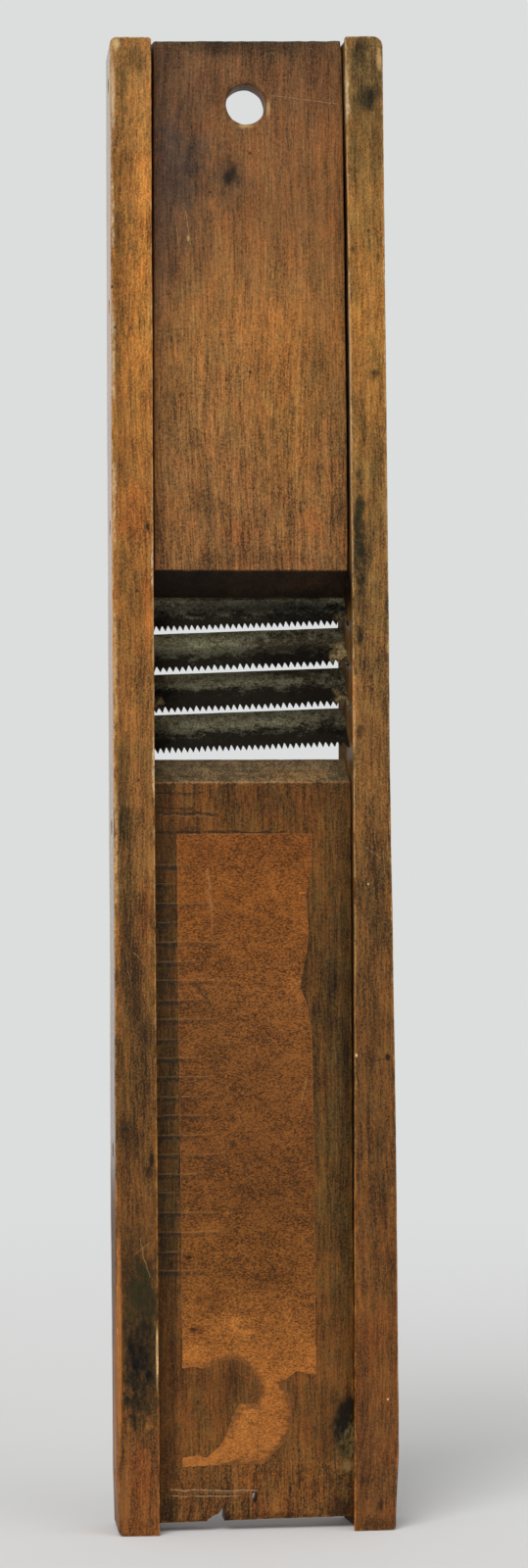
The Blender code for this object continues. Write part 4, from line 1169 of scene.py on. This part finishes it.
def makeUpperBoard():
    low, high = span("upper_board")
    block = {
        "front": low.y, "back": high.y, "seed": 21.0, "arris": 0.42, "nicks": 1.1,
        "left": lambda v, w: mix(low.x + mix(upper["planedFoot"], upper["planedTop"], w),
                                 channelLeft(mix(low.z, high.z, w)) + slicer["leftRoom"], v),
        "right": lambda v, w: (channelSide(mix(low.y, high.y, v), mix(low.z, high.z, w))
                               - upper["joint"] * (1 - v)),
        "bottom": lambda x, v: low.z + (1 - v) * upper["bevel"],
        "top": lambda x, v: topAt(x),
        "sizes": (high.x - low.x, high.y - low.y, high.z - low.z),
    }

    def shape(point, u, v, w):
        drop = topAt(point[0]) - point[2]
        if u > 0.9:
            point[0] -= (u - 0.9) * 10 * upper["cornerWear"] * (1 - smooth(drop, 0.0, upper["cornerReach"]))
        if w == 1.0:
            sawEnd(point, (2.6, 4.0), 8.0, 0.16)

    block["shape"] = shape
    board = meshObject("upper_sliding_board", woodBlock(block, (0.9, 1.3, 0.9)))
    cutters = bmesh.new()
    addBores(cutters, upperNails)
    holeZ = topAt(upper["holeX"]) - upper["holeDrop"]
    middle, half = (low.y + high.y) / 2, (high.y - low.y) / 2
    radius, rim = upper["hole"], upper["rim"]
    # half of the hole's profile, from outside the board to the middle of its thickness, then mirrored
    profile = [(0, half + 1), (radius + rim + 1, half + 1), (radius + rim, half),
               (radius + 0.2, half - rim * 0.7), (radius, half - 2 * rim)]
    profile += [(reach, -height) for reach, height in profile[::-1]]
    where = Matrix.Translation(Vector((upper["holeX"], middle, holeZ)) * mm)
    first = len(cutters.verts)
    lathe(cutters, profile, 56, where @ Matrix.Rotation(math.pi / 2, 4, "X") @ Matrix.Scale(mm, 4))
    cutters.verts.ensure_lookup_table()
    for vertex in list(cutters.verts)[first:]:
        ragged = noise.noise_vector(vertex.co / mm / 2.3) * 0.16
        vertex.co += Vector((ragged.x, 0, ragged.z)) * mm
    carve(board, cutters)

    def rimDistance(point):
        across = math.hypot(point.x - upper["holeX"], point.z - holeZ) - radius - rim * 0.4
        return math.hypot(across, min(abs(point.y - low.y), abs(point.y - high.y)))

    markArris(board, block, [rimDistance])
    finishPiece(board, woods["upper_board"], "upper_board_wood", "upper_board")


# lower board, with its broken end, knot hole, crack and knife marks
lower = {
    "bevel": 7.3, "backRise": 0.4, "markFirst": 82.0, "markPitch": 6.05, "markCount": 23, "markDepth": 0.13,
    "markReach": 6.0, "deepReach": 16.0, "deepMarks": (224.8, 230.9),
    "chipX": -10.05, "chipHigh": 6.6, "chipWide": 5.4,
    "knotX": -0.45, "knotRise": 6.8, "joint": 0.25,
}


def jagged(points, seed, step, reach):
    # the same outline with more points, each pushed a little
    dice = random.Random(seed)
    made = []
    for (x1, z1), (x2, z2) in zip(points, points[1:] + points[:1]):
        count = max(1, round(math.hypot(x2 - x1, z2 - z1) / step))
        for i in range(count):
            push = reach if i else 0.0
            made.append((mix(x1, x2, i / count) + dice.uniform(-push, push),
                         mix(z1, z2, i / count) + dice.uniform(-push, push)))
    return made


def makeLowerBoard():
    low, high = span("lower_board")
    block = {
        "front": low.y, "back": high.y, "seed": 33.0, "arris": 0.42, "nicks": 1.2,
        "left": lambda v, w: mix(low.x, channelLeft(w * high.z) + slicer["leftRoom"], v),
        "right": lambda v, w: (channelSide(mix(low.y, high.y, v), mix(slicer["footRise"], high.z, w))
                               - lower["joint"] * (1 - v)),
        "bottom": lambda x, v: footAt(x),
        "top": lambda x, v: high.z + lower["backRise"] * v - (1 - v) * lower["bevel"],
        "sizes": (high.x - low.x, high.y - low.y, high.z - slicer["footRise"]),
    }
    frontLength = high.z - lower["bevel"] - slicer["footRise"]
    heights = [lower["markFirst"] + i * lower["markPitch"] for i in range(lower["markCount"])]
    marks = [(z - slicer["footRise"], lower["markReach"]) for z in heights]
    marks += [(z - slicer["footRise"], lower["deepReach"]) for z in lower["deepMarks"]]
    rows = [(z + d) * block["sizes"][2] / frontLength for z, reach in marks for d in (-0.28, 0.0, 0.28)]

    def shape(point, u, v, w):
        if v == 0.0:
            for z, reach in marks:
                away = abs(w * frontLength - z)
                inwards = point[0] - low.x
                if away < 0.2 and 0.5 < inwards < reach:
                    point[1] += lower["markDepth"] * (1.5 if reach > 10 else 1.0)
        if w == 0.0:
            sawEnd(point, (2.2, 3.0), 2.0, 0.16)

    block["shape"] = shape
    board = meshObject("lower_sliding_board", woodBlock(block, (0.9, 1.3, 0.95), ((), (), rows)))
    cutters = bmesh.new()
    addBores(cutters, lowerNails)
    foot = footAt(lower["chipX"])
    wide, tall = lower["chipWide"], lower["chipHigh"]
    chip = [(0, -2), (0, 0), (0.13 * wide, tall), (-0.10 * wide, 0.62 * tall), (-0.34 * wide, 0.36 * tall),
            (-0.75 * wide, 0.22 * tall), (-wide, 0.05 * tall), (-wide, -2)]
    outline = [(lower["chipX"] + x, foot + z) for x, z in jagged(chip, 4, 0.7, 0.12)]
    prism(cutters, outline, high.y + 2, low.y - 2)
    knotZ = footAt(lower["knotX"]) + lower["knotRise"]
    knot = []
    for turn in [math.tau * i / 14 for i in range(14)]:
        up = 1.6 * math.sin(turn) * (1.15 if math.sin(turn) > 0 else 0.95)
        knot.append((lower["knotX"] + 0.75 * math.cos(turn), knotZ + up))
    prism(cutters, jagged(knot, 9, 0.5, 0.08), high.y + 2, low.y - 2)
    carve(board, cutters)
    markArris(board, block)
    finishPiece(board, woods["lower_board"], "lower_board_wood", "lower_board")


makeUpperBoard()
makeLowerBoard()


# Geometry Nodes: a blade is a plate whose front rows of points follow the filed notches
def randomNumber(low, high, feeds, tree=None):
    # a random number for each point, out of the pair of sockets that this node keeps for numbers
    made = put("FunctionNodeRandomValue", feeds, tree, data_type="FLOAT")
    made.inputs[2].default_value = low
    made.inputs[3].default_value = high
    return made.outputs[1]


def makeBladeTree():
    tree, given, out = newGroup(
        "toothed blade",
        {"Length": 0.07, "Width": 0.016, "Thickness": 0.0009, "Teeth": 36, "First Tooth": 0.0,
         "Depth": 0.0018, "Scatter": 0.1, "Plain End": 0.005, "Wave": 0.0002, "Seed": 1,
         "Finish": "NodeSocketMaterial"},
        ["Geometry"], "GeometryNodeTree")
    grid = put("GeometryNodeMeshGrid", {
        "Size X": given["Length"], "Size Y": given["Width"],
        "Vertices X": timesPlus(given["Teeth"], 10.0, 1.0), "Vertices Y": 22}).outputs["Mesh"]
    place = parts(put("GeometryNodeInputPosition", {}, tree).outputs[0])
    halfWidth = times(given["Width"], 0.5)
    along = over(timesPlus(given["Length"], 0.5, place["X"]), given["Length"])
    count = timesPlus(along, given["Teeth"], given["First Tooth"])
    dice = randomNumber(-1.0, 1.0, {"ID": calc("FLOOR", count), "Seed": given["Seed"]})
    middle = calc("ABSOLUTE", timesPlus(calc("FRACT", count), 2.0, -1.0))
    notch = calc("POWER", minus(1.0, middle), 0.92)
    depth = times(given["Depth"], timesPlus(dice, given["Scatter"], 1.0))
    fromTips = plus(place["Y"], halfWidth)
    fade = minus(1.0, over(fromTips, times(given["Depth"], 3.0)), clamp=True)
    # no notches are filed at the right end
    left = minus(times(given["Length"], 0.5), place["X"])
    filed = calc("GREATER_THAN", left, given["Plain End"])
    push = vector(Y=times(times(notch, depth), times(fade, filed)))
    moved = put("GeometryNodeSetPosition", {"Geometry": grid, "Offset": push}).outputs[0]
    raised = put("GeometryNodeExtrudeMesh", {"Mesh": moved, "Offset Scale": given["Thickness"],
                                             "Individual": False}).outputs["Mesh"]
    under = put("GeometryNodeFlipFaces", {"Mesh": moved}).outputs[0]
    both = put("GeometryNodeJoinGeometry", {}, tree)
    wire(raised, both.inputs[0])
    wire(under, both.inputs[0])
    closed = put("GeometryNodeMergeByDistance", {"Geometry": both.outputs[0],
                                                 "Distance": 0.000002}).outputs[0]
    # the filed side thins towards the points, and the whole strip has a slight wave
    now = parts(put("GeometryNodeInputPosition", {}, tree).outputs[0])
    tip = softStep(plus(now["Y"], halfWidth), 0.0060, 0.0005)
    level = timesPlus(given["Thickness"], -0.5, now["Z"])
    thin = times(level, times(tip, -0.55))
    where = vector(X=now["X"], Y=now["Y"], Z=times(given["Seed"], 0.37))
    wave = put("ShaderNodeTexNoise", {"Vector": where, "Scale": 70.0, "Detail": 2.0}).outputs["Fac"]
    lift = times(minus(wave, 0.5), given["Wave"])
    drop = vector(Z=timesPlus(given["Thickness"], -0.5, plus(lift, thin)))
    settled = put("GeometryNodeSetPosition", {"Geometry": closed, "Offset": drop}).outputs[0]
    plain = put("GeometryNodeRealizeInstances", {"Geometry": settled}).outputs[0]
    wire(put("GeometryNodeSetMaterial", {"Geometry": plain, "Material": given["Finish"]}).outputs[0],
         out["Geometry"])
    return tree


def grow(name, tree, values, mesh=None):
    # runs a Geometry Nodes tree on a new object and keeps its result as a plain mesh
    piece = bpy.data.objects.new(name, mesh or bpy.data.meshes.new(name))
    bpy.context.scene.collection.objects.link(piece)
    modifier = piece.modifiers.new(tree.name, "NODES")
    modifier.node_group = tree
    for item in tree.interface.items_tree:
        if item.in_out == "INPUT" and item.name in values:
            modifier[item.identifier] = values[item.name]
    bakeModifiers(piece)
    return piece


bladeTree = makeBladeTree()
# from the top blade down: pitch of the teeth, where the first notch starts, how bright the patina and the
# painted light on it are, and how many millimetres from the points the black of the filed side reaches
bladeRows = {"blade_1": {"pitch": 1.90, "first": 0.35, "patina": 1.25, "blackened": 6.3},
             "blade_2": {"pitch": 2.02, "first": 0.55, "patina": 0.95, "blackened": 5.9},
             "blade_3": {"pitch": 1.97, "first": 0.15, "patina": 0.72, "blackened": 8.6},
             "blade_4": {"pitch": 1.88, "first": 0.75, "patina": 0.95, "blackened": 8.0}}
for seed, (name, row) in enumerate(bladeRows.items(), 5):
    strip = grow(name.replace("blade", "toothed_blade"), bladeTree, {
        "Length": blade["length"] * mm, "Width": blade["width"] * mm, "Thickness": blade["thickness"] * mm,
        "Teeth": round(blade["length"] / row["pitch"]), "First Tooth": row["first"],
        "Depth": blade["notch"] * mm, "Scatter": 0.13, "Plain End": blade["plainEnd"] * mm,
        "Wave": 0.35 * mm, "Seed": seed,
        "Finish": bladeMaterial})
    values = [(vertex.co.y / mm + blade["width"] / 2) for vertex in strip.data.vertices]
    store(strip, "toTeeth", values)
    for key in ("patina", "blackened"):
        store(strip, key, [row[key]] * len(values))
    strip.data.transform(bladeFrame(name) @ Matrix.Scale(1 / mm, 4))
    finishPiece(strip, bladeMaterial, "blade_steel", name)


def makeNailTree():
    # a nail at each point, with its own turn about its length
    tree, given, out = newGroup(
        "driven nails", {"Geometry": "NodeSocketGeometry", "Nail": "NodeSocketObject", "Seed": 3,
                         "Finish": "NodeSocketMaterial"}, ["Geometry"], "GeometryNodeTree")
    body = put("GeometryNodeObjectInfo", {"Object": given["Nail"]}).outputs["Geometry"]
    spin = randomNumber(0.0, math.tau, {"Seed": given["Seed"]})
    side = put("GeometryNodeInputNamedAttribute", {"Name": "side"}, tree, data_type="FLOAT").outputs[0]
    placed = put("GeometryNodeInstanceOnPoints", {
        "Points": given["Geometry"], "Instance": body,
        "Rotation": vector(Y=times(side, math.pi / 2))}).outputs[0]
    turned = put("GeometryNodeRotateInstances", {"Instances": placed, "Rotation": vector(Z=spin),
                                                 "Local Space": True}).outputs[0]
    plain = put("GeometryNodeRealizeInstances", {"Geometry": turned}).outputs[0]
    wire(put("GeometryNodeSetMaterial", {"Geometry": plain, "Material": given["Finish"]}).outputs[0],
         out["Geometry"])
    return tree


def makeNails():
    shape = bmesh.new()
    head, shank, length = nails["head"], nails["radius"], nails["length"]
    profile = [(0, -0.02), (head * 0.55, -0.05), (head * 0.9, -0.16), (head, -0.36), (head * 0.97, -0.62),
               (shank * 1.25, -nails["headThick"]), (shank, -1.6), (shank, -length / 2),
               (shank, -length + nails["point"]), (shank * 0.5, -length + nails["point"] * 0.45),
               (0, -length)]
    lathe(shape, profile, 20, Matrix.Scale(mm, 4))
    bmesh.ops.recalc_face_normals(shape, faces=shape.faces)
    for vertex in shape.verts:
        if vertex.co.z > -0.7 * mm:
            vertex.co += noise.noise_vector(vertex.co / mm * 0.8) * 0.10 * mm
    body = meshObject("nail body", shape)
    spots = bpy.data.meshes.new("nail spots")
    places = [nailSpot(name) for name in nailNames]
    spots.from_pydata([spot * mm for spot, side in places], [], [])
    sides = [float(side) for spot, side in places]
    spots.attributes.new("side", "FLOAT", "POINT").data.foreach_set("value", sides)
    driven = grow("driven_nails", makeNailTree(), {"Nail": body, "Seed": 3, "Finish": nailMaterial}, spots)
    bpy.data.objects.remove(body)
    finishPiece(driven, nailMaterial, "nail_steel", *nailNames)


makeNails()


# label: thin paper glued on, torn at its lower end and at one place on the right
label = {"thickness": 0.12, "lift": 0.03, "cockle": 0.10}
# outline as shares of the label's width and height, from its top left corner, anticlockwise
labelOutline = {
    "left": [(0.0, 0.0), (0.004, -0.3), (0.012, -0.6), (0.015, -0.845), (0.10, -0.843), (0.17, -0.846)],
    "patch": {"middle": (0.36, -0.885), "reach": (0.225, 0.053), "from": 125, "to": -20},
    "tongueLeft": [(0.44, -0.901), (0.385, -0.918), (0.345, -0.945), (0.29, -0.968), (0.19, -0.986),
                   (0.12, -0.982), (0.015, -0.985)],
    "bottom": [(0.015, -1.0), (0.30, -0.998), (0.61, -0.998)],
    "tongueRight": {"middle": (0.60, -0.92), "reach": (0.22, 0.064), "from": -65, "to": 50},
    "right": [(0.85, -0.853), (1.0, -0.859), (0.997, -0.5), (0.99, -0.32), (0.965, -0.285), (0.935, -0.262),
              (0.90, -0.246), (0.912, -0.232), (0.955, -0.190), (0.97, -0.160), (0.955, -0.110),
              (0.962, -0.09), (0.993, -0.06), (1.0, 0.0)],
}


def arcPoints(bend, steps):
    (x, z), (wide, high) = bend["middle"], bend["reach"]
    angles = [math.radians(mix(bend["from"], bend["to"], i / steps)) for i in range(steps + 1)]
    return [(x + wide * math.cos(a), z + high * math.sin(a)) for a in angles]


def makeLabel():
    low, high = span("instruction_label")
    shares = (labelOutline["left"] + arcPoints(labelOutline["patch"], 9) + labelOutline["tongueLeft"]
              + labelOutline["bottom"] + arcPoints(labelOutline["tongueRight"], 6) + labelOutline["right"])
    wide, tall = high.x - low.x, high.z - low.z
    outline = [(low.x + x * wide, high.z + z * tall) for x, z in shares]
    torn = jagged(outline, 12, 1.1, 0.16)
    front = boardFront - label["lift"] - label["thickness"]
    plate = {
        "front": front, "back": boardFront - label["lift"], "left": lambda v, w: low.x - 1,
        "right": lambda v, w: high.x + 1, "bottom": lambda x, v: low.z - 1, "top": lambda x, v: high.z + 1,
    }
    columns = [i / 42 for i in range(43)]
    rows = [i / 190 for i in range(191)]
    sheet = skin([columns, [0.0, 1.0], rows], lambda u, v, w: blockPoint(plate, u, v, w))
    paper = meshObject("label_paper", sheet)
    mask = bmesh.new()
    prism(mask, torn, boardFront + 2, boardFront - 3)
    bmesh.ops.recalc_face_normals(mask, faces=mask.faces)
    cutter = meshObject("label mask", mask)
    keep = paper.modifiers.new("torn", "BOOLEAN")
    keep.operation = "INTERSECT"
    keep.object = cutter
    keep.solver = "EXACT"
    bakeModifiers(paper)
    bpy.data.objects.remove(cutter)
    edge = [(Vector(here), Vector(after)) for here, after in zip(outline, outline[1:] + outline[:1])]
    firstTorn = len(labelOutline["left"]) - 1
    lastTorn = firstTorn + 10 + len(labelOutline["tongueLeft"]) - 4
    afterBottom = lastTorn + 3 + len(labelOutline["bottom"])
    tornEdge = edge[firstTorn:lastTorn] + edge[afterBottom:afterBottom + 8]
    values, tears = [], []
    for vertex in paper.data.vertices:
        point = vertex.co / mm
        flat = Vector((point.x, point.z))
        near = min(distanceTo(flat, a, b) for a, b in edge)
        values.append(near)
        tears.append(min(distanceTo(flat, a, b) for a, b in tornEdge))
        cockle = 0.5 + 0.5 * noise.noise(Vector((point.x / 11, 3.0, point.z / 16)))
        curl = math.exp(-near / 0.9) * max(0.0, noise.noise(Vector((point.x / 6, 9.0, point.z / 6)))) * 0.35
        vertex.co.y -= (label["cockle"] * cockle * smooth(near, 0.0, 3.0) + curl) * mm
    store(paper, "arris", values)
    store(paper, "tear", tears)
    finishPiece(paper, paperMaterial, "label_paper", "instruction_label")


def distanceTo(point, a, b):
    along = b - a
    share = min(max((point - a).dot(along) / max(along.length_squared, 1e-9), 0.0), 1.0)
    return (point - a - along * share).length


makeLabel()


# stage: a pale floor that runs into the pale surroundings
stage = {"floorSize": 12.0, "floor": (0.86, 0.86, 0.855), "backdrop": (0.715, 0.73, 0.725), "fadeFrom": 0.3,
         "fadeTo": 1.3, "frontLight": 0.52, "backLight": 0.30, "frontGloss": 0.06}


def makeStage():
    shape = bmesh.new()
    bmesh.ops.create_grid(shape, x_segments=1, y_segments=1, size=stage["floorSize"])
    floor = meshObject("floor", shape)
    material, tree, shader, place = startMaterial("pale floor")
    shader.inputs["Base Color"].default_value = (*stage["floor"], 1.0)
    shader.inputs["Roughness"].default_value = 0.9
    shader.inputs["Specular IOR Level"].default_value = 0.1
    fade = softStep(vecCalc("LENGTH", place), stage["fadeFrom"], stage["fadeTo"])
    glow = put("ShaderNodeEmission", {"Color": (*stage["backdrop"], 1.0), "Strength": 1.0}, tree).outputs[0]
    rays = tree.nodes.new("ShaderNodeLightPath").outputs
    seen = calc("MAXIMUM", rays["Is Camera Ray"], rays["Is Transmission Ray"])
    blend = put("ShaderNodeMixShader", {0: times(fade, seen), 1: shader.outputs[0], 2: glow})
    wire(blend.outputs[0], tree.nodes["Material Output"].inputs["Surface"])
    floor.data.materials.append(material)

    world = bpy.context.scene.world or bpy.data.worlds.new("studio")
    bpy.context.scene.world = world
    world.use_nodes = True
    tree = world.node_tree
    tree.nodes.clear()
    rays = tree.nodes.new("ShaderNodeLightPath").outputs
    depth = parts(tree.nodes.new("ShaderNodeTexCoord").outputs["Generated"])["Y"]
    light = {"Color": (1.0, 1.0, 1.0, 1.0),
             "Strength": softStep(depth, -0.3, 0.6, stage["frontLight"], stage["backLight"])}
    gloss = {"Color": (*stage["backdrop"], 1.0),
             "Strength": softStep(depth, 0.0, 0.6, stage["frontGloss"], 1.0)}
    wall = {"Color": (*stage["backdrop"], 1.0), "Strength": 1.0}
    light, gloss, wall = (put("ShaderNodeBackground", feeds, tree).outputs[0]
                          for feeds in (light, gloss, wall))
    shiny = put("ShaderNodeMixShader", {0: rays["Is Glossy Ray"], 1: light, 2: gloss}).outputs[0]
    seen = calc("MAXIMUM", rays["Is Camera Ray"], rays["Is Transmission Ray"])
    final = put("ShaderNodeMixShader", {0: seen, 1: shiny, 2: wall}).outputs[0]
    wire(final, tree.nodes.new("ShaderNodeOutputWorld").inputs["Surface"])


lamps = {"key": {"from": (-0.75, -1.6, 1.55), "power": 1.55, "softness": 35.0},
         "fill": {"from": (1.3, -1.5, 0.5), "power": 0.6, "softness": 60.0}}


def makeLamps():
    for name, lamp in lamps.items():
        data = bpy.data.lights.new(name, "SUN")
        data.energy = lamp["power"]
        data.angle = math.radians(lamp["softness"])
        made = bpy.data.objects.new(name, data)
        bpy.context.scene.collection.objects.link(made)
        made.rotation_mode = "QUATERNION"
        made.rotation_quaternion = Vector(lamp["from"]).to_track_quat("Z", "Y")


# camera at the photograph's place; the focal length is worked out from the picture's long side
view = {"place": (-107.0, -1112.7, 193.5), "turn": 5.731, "tip": 2.077, "roll": 0.413, "focal": 3597.0,
        "longSide": 1600.0, "sensor": 36.0}


def makeCamera():
    turn, tip, roll = (math.radians(view[key]) for key in ("turn", "tip", "roll"))
    ahead = Vector((math.sin(turn) * math.cos(tip), math.cos(turn) * math.cos(tip), math.sin(tip)))
    right = Vector((math.cos(turn), -math.sin(turn), 0.0))
    above = right.cross(ahead)
    across = right * math.cos(roll) - above * math.sin(roll)
    upward = right * math.sin(roll) + above * math.cos(roll)
    data = bpy.data.cameras.new("camera")
    data.sensor_width = view["sensor"]
    data.lens = view["focal"] / view["longSide"] * view["sensor"]
    data.clip_start = 0.05
    data.clip_end = 100.0
    camera = bpy.data.objects.new("camera", data)
    bpy.context.scene.collection.objects.link(camera)
    axes = Matrix((across, upward, -ahead)).transposed().to_4x4()
    camera.matrix_world = Matrix.Translation(Vector(view["place"]) * mm) @ axes
    bpy.context.scene.camera = camera


makeStage()
makeLamps()
makeCamera()
bpy.context.scene.view_settings.view_transform = "Standard"
print("stage, lamps and camera set")
